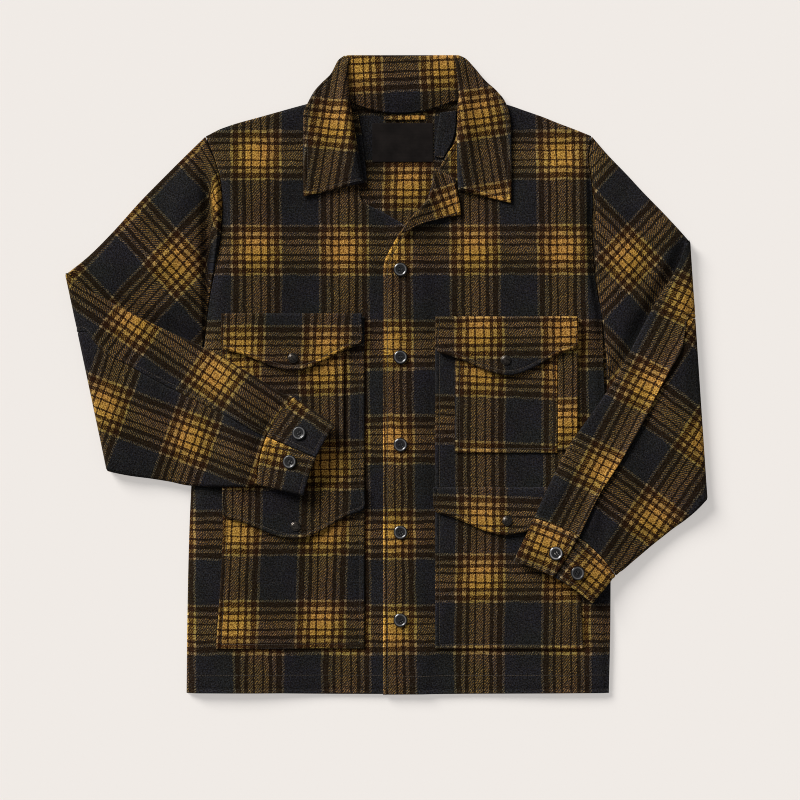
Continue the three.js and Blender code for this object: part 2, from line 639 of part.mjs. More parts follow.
function fromSolid(solid) {
  const mesh = solid.getMesh();
  const geometry = new THREE.BufferGeometry();
  geometry.setAttribute("position", new THREE.Float32BufferAttribute(mesh.vertProperties, 3));
  geometry.setIndex([...mesh.triVerts]);
  return geometry;
}

const collar = toSolid(backBand()).add(toSolid(leaf(RIGHT_LEAF))).add(toSolid(leaf(LEFT_LEAF)));
add("collar", fromSolid(collar), PLAID);

// Buttons and snaps, turned parts whose seat is level and just clear of the cloth
const BUTTON_PROFILE = [[0, 0], [0.86, 0], [1, 0.25], [1, 0.75], [0.9, 1], [0.7, 1], [0.58, 0.72], [0, 0.72]];
const BUTTON_HEIGHT = 3.4;
const SNAP_PROFILE = [[0, 0], [0.9, 0], [1, 0.2], [0.85, 0.7], [0.5, 0.97], [0, 1]];
const SNAP_HEIGHT = 2.8;
const TURNED_SIDES = 14;

function turned(profile, radius, height) {
  const points = profile.map(([r, z]) => new THREE.Vector2(r * radius, z * height));
  return new THREE.LatheGeometry(points, TURNED_SIDES).rotateX(Math.PI / 2);
}

// The lowest level seat for a round foot on the surface top(x, y)
function seat(top, x, y, radius) {
  const round = even(8)().map((t) => t * 2 * Math.PI);
  return Math.max(...round.map((a) => top(x + radius * Math.cos(a), y + radius * Math.sin(a)))) + SEAM;
}

for (let i = 0; i < FRONT_BUTTONS; i++) {
  const y = TOP_BUTTON_Y - i * BUTTON_PITCH;
  const place = [BUTTON_X, y, seat(frontTop, BUTTON_X, y, BUTTON_RADIUS)];
  add(`front_button_${i + 1}`, turned(BUTTON_PROFILE, BUTTON_RADIUS, BUTTON_HEIGHT), HORN, place);
}

const SNAP = {
  right_chest_flap: [-138, 54], left_chest_flap: [136.5, 51.4],
  right_lower_flap: [-135, -163.3], left_lower_flap: [138.5, -156.3],
};
for (const [name, [x, y]] of Object.entries(SNAP)) {
  const { side, layers } = FLAP[name];
  const top = (u, v) => onFront(side, layers)(u, v) + DOUBLE;
  const place = [x, y, seat(top, x, y, SNAP_RADIUS)];
  add(name.replace("flap", "snap"), turned(SNAP_PROFILE, SNAP_RADIUS, SNAP_HEIGHT), DARK_METAL, place);
}

// Cuff buttons, placed by their share along the cuff's length and across it, each on the band's top
const CUFF_BUTTON = {
  right: [{ along: 0.4, across: 0.31 }, { along: 0.45, across: 0.65 }],
  left: [{ along: 0.42, across: 0.36 }, { along: 0.55, across: 0.66 }],
};

function cuffTop(rows, along, across) {
  const place = clamp01(along) * (rows.length - 1);
  const row = Math.min(rows.length - 2, Math.floor(place));
  const [a, b] = [rows[row].at(across, 0), rows[row + 1].at(across, 0)];
  return a.map((value, axis) => mix(value, b[axis], place - row));
}

for (const side of ["right", "left"]) {
  const rows = cuffRows(side);
  const [start, end] = [cuffTop(rows, 0, 0.5), cuffTop(rows, 1, 0.5)];
  const [alongFoot, acrossFoot] = [
    BUTTON_RADIUS / Math.hypot(end[0] - start[0], end[1] - start[1]), BUTTON_RADIUS / rows[0].length,
  ];
  CUFF_BUTTON[side].forEach(({ along, across }, i) => {
    const round = even(8)().map((t) => t * 2 * Math.PI);
    const foot = round.map((a) => {
      return cuffTop(rows, along + alongFoot * Math.cos(a), across + acrossFoot * Math.sin(a));
    });
    const [x, y] = cuffTop(rows, along, across);
    const place = [x, y, Math.max(...foot.map((p) => p[2])) + SEAM];
    add(`${side}_cuff_button_${i + 1}`, turned(BUTTON_PROFILE, BUTTON_RADIUS, BUTTON_HEIGHT), HORN, place);
  });
}

export default jacket;
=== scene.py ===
# The plaid wool mackinaw jacket, dressed over its CAD frame. Lengths are millimetres up to add_mesh,
# which writes metres. Left and right are the wearer's, so the left front is at +X.
import json
import math

import bpy
import numpy as np
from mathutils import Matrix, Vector

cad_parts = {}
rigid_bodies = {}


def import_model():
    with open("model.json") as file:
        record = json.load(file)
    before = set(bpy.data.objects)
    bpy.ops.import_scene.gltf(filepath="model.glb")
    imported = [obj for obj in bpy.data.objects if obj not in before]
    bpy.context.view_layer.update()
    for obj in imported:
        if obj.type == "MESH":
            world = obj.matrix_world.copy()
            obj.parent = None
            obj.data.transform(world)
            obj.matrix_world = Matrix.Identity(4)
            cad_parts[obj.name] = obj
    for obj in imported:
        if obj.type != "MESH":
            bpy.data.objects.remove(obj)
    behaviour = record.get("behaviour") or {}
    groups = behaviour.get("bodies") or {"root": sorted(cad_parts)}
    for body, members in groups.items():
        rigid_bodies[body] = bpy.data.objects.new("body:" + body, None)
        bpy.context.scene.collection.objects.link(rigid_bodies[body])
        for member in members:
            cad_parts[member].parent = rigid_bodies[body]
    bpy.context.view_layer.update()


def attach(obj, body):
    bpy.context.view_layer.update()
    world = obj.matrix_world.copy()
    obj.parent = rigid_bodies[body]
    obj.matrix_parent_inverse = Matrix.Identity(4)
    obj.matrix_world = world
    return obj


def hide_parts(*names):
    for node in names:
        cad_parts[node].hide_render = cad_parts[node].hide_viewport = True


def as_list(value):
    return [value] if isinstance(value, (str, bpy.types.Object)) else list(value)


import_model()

MM = 0.001

# Sizes shared with the solids
CLOTH = 2.5  # one layer of heavy wool
DOUBLE = 4.0  # two layers sewn and pressed, as in flaps and collar
CUFF_WALL = 3.2
SEAM = 0.3  # gap between two pieces
LAYER = CLOTH + SEAM
ARMHOLE_GAP = 0.8
HEM_Y = -380
OVERLAP_EDGE = 25  # the right front ends here, under the left front
FREE_EDGE = -22  # the left front's buttoned edge
BUTTON_X = 0.6
TOP_BUTTON_Y = 169
BUTTON_PITCH = 113.5
BUTTON_RADIUS = 9
SNAP_RADIUS = 6.5
NECK_Y = 372.5  # middle of the back neck seam
NECK_HALF = 75  # from the centre line to the shoulder's neck end
NECK_RISE = 19.5  # how far the neck seam climbs to the shoulders
COLLAR_TOP = 447.5
SLEEVE_THICK = 8  # both layers of a sleeve and the air between them, at the elbow
ARMHOLE_THICK = 5.3
FOREARM_THICK = 7
CUFF_THICK = 7.6
FOLD_CENTRE = SLEEVE_THICK + 0.5  # height of the line that the elbow folds round


# Numbers and curves
def mix(a, b, t):
    return a + (b - a) * t


def clamp01(t):
    return np.clip(t, 0.0, 1.0)


def smooth(t):
    t = clamp01(t)
    return t * t * (3 - 2 * t)


def bell(d, width):
    return np.exp(-((d / width) ** 2))


def pchip(x, y, at):
    """A smooth curve through the points (x, y) that never overshoots them, at the places at."""
    x, y, at = np.asarray(x, float), np.asarray(y, float), np.asarray(at, float)
    column = (...,) + (None,) * (y.ndim - 1)
    h = np.diff(x)[column]
    d = np.diff(y, axis=0) / h
    m = np.zeros_like(y)
    if len(x) > 2:
        w1, w2 = 2 * h[1:] + h[:-1], h[1:] + 2 * h[:-1]
        same = d[:-1] * d[1:] > 0
        with np.errstate(divide="ignore", invalid="ignore"):
            m[1:-1] = np.where(same, (w1 + w2) / (w1 / d[:-1] + w2 / d[1:]), 0)
    m[0], m[-1] = d[0], d[-1]
    i = np.clip(np.searchsorted(x, at, side="right") - 1, 0, len(x) - 2)
    step = np.diff(x)[i][column]
    t = (at - x[i])[column] / step
    a, b = (1 + 2 * t) * (1 - t) ** 2, t * (1 - t) ** 2
    c, e = t * t * (3 - 2 * t), t * t * (t - 1)
    return a * y[i] + b * step * m[i] + c * y[i + 1] + e * step * m[i + 1]


FINE = (2.6, 4.2, 5.3, 6.4, 8.0, 11.0)  # closer columns where an edge is sewn


def edged(length, step=5.0, start=True, end=True):
    """Shares of a length, closer together beside its sewn ends."""
    near = [0.0, *FINE] if start else [0.0]
    far = [length - v for v in (0.0, *FINE)] if end else [length]
    low, high = near[-1], far[-1]
    count = max(2, int(round((high - low) / step)))
    middle = np.linspace(low, high, count + 1)[1:-1]
    return np.concatenate([near, middle, far[::-1]]) / length


def value_noise(x, y, size, seed):
    """Smooth noise from -1 to 1 on a plane, the same in every run."""
    cells, above_zero = 64, 1000
    table = np.random.RandomState(seed).uniform(-1, 1, (cells, cells))
    u, v = np.asarray(x) / size + above_zero, np.asarray(y) / size + above_zero
    i, j = np.floor(u).astype(int), np.floor(v).astype(int)
    fu, fv = smooth(u - i), smooth(v - j)

    def corner(a, b):
        return table[(i + a) % cells, (j + b) % cells]

    return mix(mix(corner(0, 0), corner(1, 0), fu), mix(corner(0, 1), corner(1, 1), fu), fv)


def soft_ridges(table, x, y, swing, wave, phase):
    """Soft ridges on a plane. Each has two ends, a half width and a height, and wanders by swing."""
    total = np.zeros(np.shape(x))
    for x0, y0, x1, y1, width, height in table:
        dx, dy = x1 - x0, y1 - y0
        length = math.hypot(dx, dy)
        along = ((x - x0) * dx + (y - y0) * dy) / length
        across = ((x - x0) * dy - (y - y0) * dx) / length + swing * np.sin(along / wave + phase * x0)
        ends = smooth((along + width) / (2 * width)) * smooth((length + width - along) / (2 * width))
        total = total + height * bell(across, width) * ends
    return total


def inside_distance(x, y, line):
    """Distance of points from a polyline, above zero on the left of its direction."""
    best = np.full(np.shape(x), 1e9)
    sign = np.ones(np.shape(x))
    for (x0, y0), (x1, y1) in zip(line[:-1], line[1:]):
        dx, dy = x1 - x0, y1 - y0
        t = clamp01(((x - x0) * dx + (y - y0) * dy) / (dx * dx + dy * dy))
        d = np.hypot(x - x0 - t * dx, y - y0 - t * dy)
        side = np.where(dx * (y - y0) - dy * (x - x0) >= 0, 1.0, -1.0)
        nearer = d < best
        best, sign = np.where(nearer, d, best), np.where(nearer, side, sign)
    return best * sign


# Heights of what lies on the back
RAMP_TOP, RAMP_FOOT = 30, 44  # the left front climbs onto the right one between these

# Soft ridges of the fronts and all that lies on them: two ends, half width and height
RIDGES = [
    (-205, 255, -120, 300, 26, 1.6),
    (-215, 190, -150, 150, 22, 1.3),
    (-90, 240, -60, 120, 20, 1.2),
    (-60, 90, -44, -120, 14, 0.9),
    (-222, 60, -232, -60, 12, 1.0),
    (-255, -150, -245, -300, 16, 1.8),
    (-200, -300, -120, -350, 22, 1.4),
    (-110, -215, -60, -340, 20, 1.0),
    (-20, 120, -16, -100, 10, 0.8),
    (-18, -160, -12, -350, 11, 0.9),
    (60, 215, 150, 190, 20, 1.3),
    (215, 300, 150, 250, 24, 1.6),
    (232, 200, 236, 80, 12, 1.3),
    (70, 20, 110, -60, 22, 0.9),
    (180, -20, 205, -130, 20, 1.2),
    (60, -180, 52, -330, 14, 0.9),
    (150, -200, 190, -330, 24, 1.5),
    (248, -260, 240, -372, 14, 1.7),
    (20, -240, 40, -372, 18, 1.1),
]


def seam_x(side, y):
    """Where a body's side ends, down its armhole and side seam."""
    line = outer_line(side)
    return np.interp(-np.asarray(y), -line[:, 1], line[:, 0])


def relief(x, y):
    """How far the fronts stand off the back, as one soft surface."""
    x, y = np.asarray(x, float), np.asarray(y, float)
    total = 0.45 * (1 + value_noise(x, y, 46, 3)) + soft_ridges(RIDGES, x, y, 5, 31, 0)
    in_from_side = smooth((250 - np.abs(x)) / 40)
    off_right, off_left = x - seam_x("right", y), seam_x("left", y) - x
    right = smooth((-90 - x) / 140) * smooth(off_right / 14)
    left = smooth((x - 50) / 180) * smooth(off_left / 12) * (0.45 + 0.55 * smooth((y - 40) / 60))
    by_armhole = 2.4 * bell(off_left - 11, 6) * smooth((300 - y) / 30) * smooth((y - 90) / 40)
    below_shoulder = smooth((335 - y) / 45)
    return total * (0.25 + 0.75 * in_from_side) + below_shoulder * (5.0 * right + 5.5 * left + by_armhole)


def puff(x, y):
    return 0.6 * (1 + np.sin(x / 38 + 1) * np.cos(y / 52))


def right_front_under(x, y):
    return LAYER + puff(x, y) + relief(x, y)


def left_front_under(x, y):
    return right_front_under(x, y) + LAYER * clamp01((RAMP_FOOT - x) / (RAMP_FOOT - RAMP_TOP))


FRONT_UNDER = {"right": right_front_under, "left": left_front_under}


def on_front(side, layers):
    return lambda x, y: FRONT_UNDER[side](x, y) + CLOTH + SEAM + layers * LAYER


# The check
REPEAT_ACROSS, REPEAT_ALONG = 113.5, 122.85
PLAIN_REPEATS = (113.5, 122.8)
# Where each piece's check lies: the place of one crossing of two gold bands, how far its warp leans
# from upright (clockwise) and its picks lean more than that, in degrees, and the two repeats where
# the cloth is drawn in or seen at a slant
CHECK = {
    "back": (10.4, 279.1, 1.2, -1.3),
    "band": (56.4, 434.2, -2.5, 0.0, 110.4, 122.8),
    "right_front": (-186.0, 194.2, -0.3, 0.3, 113.6, 122.9),
    "left_front": (96.9, 194.7, -0.6, 0.6, 113.2, 122.9),
    "right_leaf": (-85.5, 356.6, 9.5, -2.2, 113.5, 121.9),
    "left_leaf": (100.9, 370.5, -9.4, 0.4, 113.5, 123.5),
    "lapel": (76.0, 249.0, -20.0, 0.0),
    "right_facing": (-116.0, 262.0, 8.0, 0.0),
    "left_facing": (2.0, 280.0, -4.0, 0.0),
    "loop": (20.0, 364.0, 0.0, 0.0),
    "right_panel": (-98.3, 38.6, -0.6, -0.6, 113.5, 122.5),
    "right_panel_low": (-102.7, -291.1, 1.8, -1.9, 113.1, 121.4),
    "left_panel": (104.8, -26.0, 0.0, 1.0),
    "left_panel_low": (103.9, -230.4, 0.9, -1.1, 112.2, 119.2),
    "right_chest_pocket": (-98.5, 38.2, -1.0, 0.0, 113.6, 121.9),
    "left_chest_pocket": (105.0, 36.0, 0.4, 1.9, 110.2, 120.8),
    "left_pen_pocket": (217.1, -28.9, 0.2, -0.7, 113.5, 121.7),
    "right_chest_flap": (-95.3, 64.2, 1.8, -2.0, 110.9, 122.9),
    "left_chest_flap": (102.6, 86.5, -0.4, 0.0, 111.3, 122.9),
    "right_lower_flap": (-96.3, -84.0, 0.9, -0.6, 112.8, 122.7),
    "left_lower_flap": (105.7, -155.9, -0.1, 1.9, 113.5, 122.9),
    "right_upper": (-289.0, 175.8, 43.2, 4.0, 113.6, 120.6),
    "right_fore_top": (-341.4, 103.0, -56.0, 0.4, 113.5, 126.6),
    "right_fore_under": (-270.5, -49.5, -69.2, -1.4, 113.5, 119.5),
    "left_upper": (295.1, 183.3, -43.5, -3.8, 109.5, 120.4),
    "left_fore_top": (319.9, 17.0, 27.7, -1.7, 113.5, 122.2),
    "left_fore_under": (326.8, -153.8, 33.7, 2.6, 113.5, 121.2),
    "right_cuff_top": (-133.7, 21.7, 34.7, 0.0),
    "right_cuff_under": (-172.4, -52.1, 11.5, 0.0),
    "left_cuff_top": (188.8, -182.8, 21.6, 0.0),
    "left_cuff_under": (252.2, -223.6, 40.0, 0.0),
}


def check_at(name, x, y):
    """Cloth coordinates in mm, from a crossing of two bands: across the warp, and along it downwards."""
    cx, cy, lean, skew, *repeats = CHECK[name]
    across, along = repeats or PLAIN_REPEATS
    a, b = math.radians(lean), math.radians(lean + skew)
    dx, dy = x - cx, y - cy
    u = (dx * math.cos(a) - dy * math.sin(a)) * REPEAT_ACROSS / across
    v = (-dx * math.sin(b) - dy * math.cos(b)) * REPEAT_ALONG / along
    return np.stack([u, v], -1)


# Meshes
def add_mesh(name, points, faces, uv, look, nodes=(), edge=None):
    """points in mm. uv is a pair for each corner of each face. edge is the share of lightening at each point,
    partly wear and partly a painted highlight.
    """
    me = bpy.data.meshes.new(name)
    quads = [tuple(int(i) for i in f) for f in faces]
    me.from_pydata((np.asarray(points) * MM).tolist(), [], quads)
    me.update()
    if uv is not None:
        layer = me.uv_layers.new(name="Cloth")
        layer.data.foreach_set("uv", (np.asarray(uv, float) * MM).astype(np.float32).ravel())
    if edge is not None:
        highlight_and_wear = me.attributes.new("highlight_and_wear", "FLOAT", "POINT")
        highlight_and_wear.data.foreach_set("value", np.asarray(edge, np.float32).ravel())
    me.polygons.foreach_set("use_smooth", np.ones(len(me.polygons), bool))
    me.materials.append(look)
    ob = bpy.data.objects.new(name, me)
    bpy.context.scene.collection.objects.link(ob)
    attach(ob, "root")
    if nodes:
        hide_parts(*nodes)


def unit(v):
    return v / np.maximum(np.linalg.norm(v, axis=-1, keepdims=True), 1e-9)


def edge_distance(points, edge):
    """How far each point of a grid lies from one of its edges, along the grid's own lines."""
    axis = 0 if edge in ("first_row", "last_row") else 1
    from_end = edge in ("last_row", "last_col")
    steps = np.linalg.norm(np.diff(points, axis=axis), axis=-1)
    if from_end:
        steps = np.flip(steps, axis=axis)
    total = np.cumsum(steps, axis=axis)
    total = np.concatenate([np.zeros_like(np.take(total, [0], axis=axis)), total], axis=axis)
    return np.flip(total, axis=axis) if from_end else total


STITCH_IN = 6.0  # topstitching lies this far in from an edge


def sew_edges(face, lining, edges, depth=0.75):
    """The soft groove of the topstitching beside some of a grid's edges, and the puckers along it."""
    up = unit(face - lining)
    total = np.zeros(face.shape[:2])
    run = face[..., 0] + face[..., 1]
    for n, edge in enumerate(edges):
        d = edge_distance(face, edge)
        pucker = 1 + 0.35 * np.sin(run / 6.3 + 2.0 * np.sin(run / 37) + n)
        total = total - depth * bell(d - STITCH_IN, 1.7) * pucker
        total = total + 0.3 * bell(d - 3.2, 2.2)
        far = smooth((30 - d) / 26) * smooth((d - 7) / 5)
        total = total + 0.28 * far * np.sin(run / 8.7 + 1.4 * np.sin(run / 23) + 1.7 * n)
    return face + up * total[..., None]


RING = 5  # rows of faces round a cloth edge
EDGE_LIGHT_REACH = 1.6  # how far in from an edge the lightening reaches, partly wear and partly a painted highlight
EDGES = ("first_row", "last_row", "first_col", "last_col")


def grid_ring(rows, cols):
    """The rows and the columns of a grid's outer points, in order round it."""
    ring = [(0, c) for c in range(cols)] + [(r, cols - 1) for r in range(1, rows)]
    ring += [(rows - 1, c) for c in range(cols - 2, -1, -1)] + [(r, 0) for r in range(rows - 2, 0, -1)]
    return np.array(ring).T


def build_wall(name, face, lining, uv, look, nodes, cut=None, edge_light_and_wear=0.5):
    """A closed wall of cloth between two grids of points, with round edges. uv is a pair a point, and
    where cut is given, (column, uv) says which other pairs the columns from there on use."""
    rows, cols = face.shape[:2]
    count = rows * cols
    rr, cc = grid_ring(rows, cols)
    n = len(rr)
    middle = (face + lining) / 2
    out = np.zeros((n, 3))
    slopes = [np.zeros((n, 2)) for _ in range(2)]
    maps = [uv, uv if cut is None else cut[1]]
    for on, inner in (
        (rr == 0, (1, None)), (rr == rows - 1, (rows - 2, None)),
        (cc == 0, (None, 1)), (cc == cols - 1, (None, cols - 2)),
    ):
        r_in = np.where(on, inner[0] if inner[0] is not None else rr, rr)
        c_in = np.where(on, inner[1] if inner[1] is not None else cc, cc)
        step = middle[rr, cc] - middle[r_in, c_in]
        length = np.maximum(np.linalg.norm(step, axis=1, keepdims=True), 1e-6)
        out += np.where(on[:, None], step / length, 0)
        for k in range(2):
            slopes[k] += np.where(on[:, None], (maps[k][rr, cc] - maps[k][r_in, c_in]) / length, 0)
    half_vec = (face[rr, cc] - lining[rr, cc]) / 2
    half = np.linalg.norm(half_vec, axis=1, keepdims=True)
    centre = middle[rr, cc] - out * half
    face, lining = face.copy(), lining.copy()
    face[rr, cc] = centre + half_vec
    lining[rr, cc] = centre - half_vec
    maps = [m.copy() for m in maps]
    base = [m[rr, cc] - slopes[k] * half for k, m in enumerate(maps)]
    for k in range(2):
        maps[k][rr, cc] = base[k]
    angles = np.radians(np.linspace(90, -90, RING + 1)[1:-1])
    layers = [centre + half_vec * math.sin(a) + out * half * math.cos(a) for a in angles]
    arcs = [half * (math.pi / 2 - abs(a)) for a in angles]
    points = np.concatenate([face.reshape(-1, 3), lining.reshape(-1, 3), *layers])
    pairs = [
        np.concatenate([m.reshape(-1, 2), m.reshape(-1, 2), *[base[k] + slopes[k] * arc for arc in arcs]])
        for k, m in enumerate(maps)
    ]
    grid = np.arange(count).reshape(rows, cols)
    a, b, c, d = grid[:-1, :-1], grid[:-1, 1:], grid[1:, 1:], grid[1:, :-1]
    top = np.stack([a, b, c, d], -1).reshape(-1, 4)
    bottom = np.stack([a, d, c, b], -1).reshape(-1, 4) + count
    levels = [rr * cols + cc] + [2 * count + k * n + np.arange(n) for k in range(len(layers))]
    levels.append(rr * cols + cc + count)
    sides = []
    nxt = np.roll(np.arange(n), -1)
    for upper, lower in zip(levels[:-1], levels[1:]):
        sides.append(np.stack([upper, lower, lower[nxt], upper[nxt]], -1))
    faces = np.concatenate([top, bottom, *sides])
    # the faces are turned over where the grid runs clockwise, seen from outside
    p = points[top[len(top) // 2]]
    normal = np.cross(p[1] - p[0], p[3] - p[0])
    towards = face[rows // 2, cols // 2] - lining[rows // 2, cols // 2]
    if normal @ towards < 0:
        faces = faces[:, ::-1]
    corner_uv = pairs[0][faces]
    if cut is not None:
        col = np.concatenate([np.tile(np.arange(cols), rows)] * 2 + [cc] * len(layers))
        beyond = col[faces].min(1) >= cut[0]
        corner_uv = np.where(beyond[:, None, None], pairs[1][faces], corner_uv)
    # Lighter edges, partly wear of the nap and partly a painted highlight where the rounded edges catch the
    # light; the rounded sides get all of it
    dist = np.minimum.reduce([edge_distance(face, edge) for edge in EDGES])
    highlight_and_wear = edge_light_and_wear * np.concatenate([np.tile(np.exp(-dist.ravel() / EDGE_LIGHT_REACH), 2), np.ones(n * len(layers))])
    add_mesh(name, points, faces, corner_uv, look, nodes, edge=highlight_and_wear)


# Node graphs
class Graph:
    """Short ways to write a material's nodes."""

    def __init__(self, tree):
        self.tree = tree

    def node(self, kind, **settings):
        made = self.tree.nodes.new(kind)
        for key, value in settings.items():
            setattr(made, key, value)
        return made

    def put(self, socket, value):
        if hasattr(value, "is_output"):
            self.tree.links.new(value, socket)
        else:
            socket.default_value = value

    def math(self, operation, *values, clamp=False):
        made = self.node("ShaderNodeMath", operation=operation, use_clamp=clamp)
        for socket, value in zip(made.inputs, values):
            self.put(socket, value)
        return made.outputs[0]

    def plus(self, a, b):
        return self.math("ADD", a, b)

    def times(self, a, b):
        return self.math("MULTIPLY", a, b)

    def mix(self, share, a, b, blend="MIX"):
        made = self.node("ShaderNodeMix", data_type="RGBA", blend_type=blend)
        self.put(made.inputs[0], share)
        self.put(made.inputs[6], a)
        self.put(made.inputs[7], b)
        return made.outputs[2]

    def noise(self, vector, scale, detail, rough=0.5, distort=0.0):
        made = self.node("ShaderNodeTexNoise")
        self.put(made.inputs["Vector"], vector)
        made.inputs["Scale"].default_value = scale
        made.inputs["Detail"].default_value = detail
        made.inputs["Roughness"].default_value = rough
        made.inputs["Distortion"].default_value = distort
        return made.outputs["Fac"]

    def span(self, value, low, high, to_low=0.0, to_high=1.0):
        made = self.node("ShaderNodeMapRange", clamp=True)
        for socket, v in zip(made.inputs, (value, low, high, to_low, to_high)):
            self.put(socket, v)
        return made.outputs[0]

    def ramp(self, value, stops, constant=False):
        made = self.node("ShaderNodeValToRGB")
        ramp = made.color_ramp
        ramp.interpolation = "CONSTANT" if constant else "LINEAR"
        while len(ramp.elements) < len(stops):
            ramp.elements.new(0.5)
        for element, (place, colour) in zip(ramp.elements, stops):
            element.position = place
            element.color = (*colour, 1)
        self.put(made.inputs[0], value)
        return made.outputs[0]

    def bump(self, height, strength, distance, normal=None):
        made = self.node("ShaderNodeBump")
        made.inputs["Strength"].default_value = strength
        made.inputs["Distance"].default_value = distance
        self.put(made.inputs["Height"], height)
        if normal is not None:
            self.put(made.inputs["Normal"], normal)
        return made.outputs[0]


def new_material(name, **sockets):
    mat = bpy.data.materials.new(name)
    mat.use_nodes = True
    graph = Graph(mat.node_tree)
    shader = mat.node_tree.nodes["Principled BSDF"]
    for key, value in sockets.items():
        shader.inputs[key.replace("_", " ")].default_value = value
    return mat, graph, shader


def linear(r, g, b):
    """A colour read as 0 to 255 on a screen, as the shader wants it."""
    def one(c):
        c = c / 255
        return c / 12.92 if c <= 0.04045 else ((c + 0.055) / 1.055) ** 2.4
    return one(r), one(g), one(b)


# Yarns
GOLD = linear(166, 124, 57)
GOLD_OUTER = linear(146, 115, 65)
GOLD_LINE = linear(126, 107, 73)
DARK = linear(37, 18, 5)
CHARCOAL = linear(27, 27, 30)
# One half of a band and of the ground beside it: each stretch ends this far from the band's middle
BAND = [
    (4.9, GOLD), (7.3, DARK), (13.6, GOLD), (18.2, DARK), (22.9, GOLD_OUTER), (29.6, DARK), (32.9, GOLD_LINE),
    (60.0, CHARCOAL),
]
END_PITCH, PICK_PITCH = 0.79, 0.97  # of the warp's and the weft's yarns
BAND_REACH = 64.0  # past half of either repeat
TWILL = 4.0  # yarns in one repeat of the weave
OVER = 0.45  # share of it where the warp is on top


def wandering(g, uv, part, slow_scale, quick_scale):
    """A yarn's place in mm, which wanders a little as the cloth was fulled."""
    slow = g.span(g.noise(uv, slow_scale, 2.0), 0.25, 0.75, -0.9, 0.9)
    quick = g.span(g.noise(uv, quick_scale, 2.0, 0.6), 0.25, 0.75, -0.55, 0.55)
    return g.plus(g.plus(g.times(part, 1 / MM), slow), quick)


def yarn(g, position, pitch, repeat):
    """At a place across one set of yarns: the yarn's number, its colour and how near its top it is."""
    count = g.math("DIVIDE", position, pitch)
    index = g.math("FLOOR", count)
    middle = g.times(g.plus(index, 0.5), pitch)
    cycle = g.math("FRACT", g.plus(g.math("DIVIDE", middle, repeat), 0.5))
    off = g.times(g.math("ABSOLUTE", g.math("SUBTRACT", cycle, 0.5)), repeat)
    starts = [0.0] + [end for end, _ in BAND[:-1]]
    stops = [(start / BAND_REACH, colour) for start, (_, colour) in zip(starts, BAND)]
    colour = g.ramp(g.math("DIVIDE", off, BAND_REACH), stops, constant=True)
    aside = g.math("ABSOLUTE", g.math("SUBTRACT", g.times(g.math("FRACT", count), 2.0), 1.0))
    return index, colour, g.math("SUBTRACT", 1.0, g.times(aside, aside))


def wool_plaid():
    mat, g, shader = new_material(
        "wool_plaid", Roughness=0.95, Sheen_Weight=0.02, Sheen_Roughness=0.5,
        Sheen_Tint=(1.0, 0.93, 0.82, 1), Specular_IOR_Level=0.03,
    )
    uv = g.node("ShaderNodeUVMap", uv_map="Cloth").outputs[0]
    split = g.node("ShaderNodeSeparateXYZ")
    g.put(split.inputs[0], uv)
    u = wandering(g, uv, split.outputs[0], 38.0, 330.0)
    v = wandering(g, uv, split.outputs[1], 47.0, 290.0)
    end_number, warp, warp_top = yarn(g, u, END_PITCH, REPEAT_ACROSS)
    pick_number, weft, weft_top = yarn(g, v, PICK_PITCH, REPEAT_ALONG)
    twill = g.math("FRACT", g.math("DIVIDE", g.plus(end_number, pick_number), TWILL))
    on_top = g.math("LESS_THAN", g.math("FRACT", g.plus(twill, 2.0)), OVER)
    cell = g.mix(on_top, weft, warp)
    # the dark fibres felt over the pale ones more than the other way round
    darker = g.mix(1.0, weft, warp, "DARKEN")
    fuzz = g.noise(uv, 620.0, 3.0, 0.65)
    mingled = g.mix(g.span(fuzz, 0.4, 0.6, 0.42, 0.95), cell, darker)
    top = g.mix(on_top, weft_top, warp_top)
    shade = g.span(top, 0.0, 0.85, 0.45, 1.15)
    cloud = g.span(g.noise(uv, 24.0, 3.0, 0.55), 0.3, 0.7, 0.86, 1.12)
    speck = g.span(g.noise(uv, 520.0, 2.0, 0.6), 0.38, 0.62, 0.38, 1.55)
    tone = g.times(g.times(cloud, speck), shade)
    warm = g.span(g.noise(uv, 15.0, 2.0), 0.4, 0.62)
    tint = g.mix(warm, (0.98, 1.03, 0.88, 1), (1.03, 0.97, 1.06, 1))
    # the depths between the fibres are browner than their tops
    depth = g.node("ShaderNodeCombineColor")
    for socket, power in zip(depth.inputs, (1.0, 1.2, 1.5)):
        g.put(socket, g.math("POWER", tone, power))
    colour = g.mix(1.0, g.mix(1.0, mingled, tint, "MULTIPLY"), depth.outputs[0], "MULTIPLY")
    # pale hairs of the nap
    hairs = g.noise(uv, 760.0, 2.0, 0.7, 1.2)
    colour = g.mix(g.span(hairs, 0.54, 0.7, 0.0, 0.17), colour, (*linear(122, 113, 100), 1))
    # Edges up to twice as bright: partly wear of the nap, partly a painted highlight on the rounded edges
    highlight_and_wear = g.node("ShaderNodeAttribute", attribute_name="highlight_and_wear").outputs["Fac"]
    highlit_and_worn = g.math("MULTIPLY", highlight_and_wear, g.span(fuzz, 0.3, 0.7, 0.1, 0.8), clamp=True)
    colour = g.mix(highlit_and_worn, colour, g.mix(1.0, colour, colour, "ADD"))
    g.put(shader.inputs["Base Color"], colour)
    height = g.plus(g.times(top, 0.7), g.times(fuzz, 1.1))
    fine = g.bump(height, 0.6, 0.0004)
    g.put(shader.inputs["Normal"], g.bump(g.noise(uv, 95.0, 4.0, 0.65), 0.4, 0.0016, fine))
    return mat


WOOL = wool_plaid()


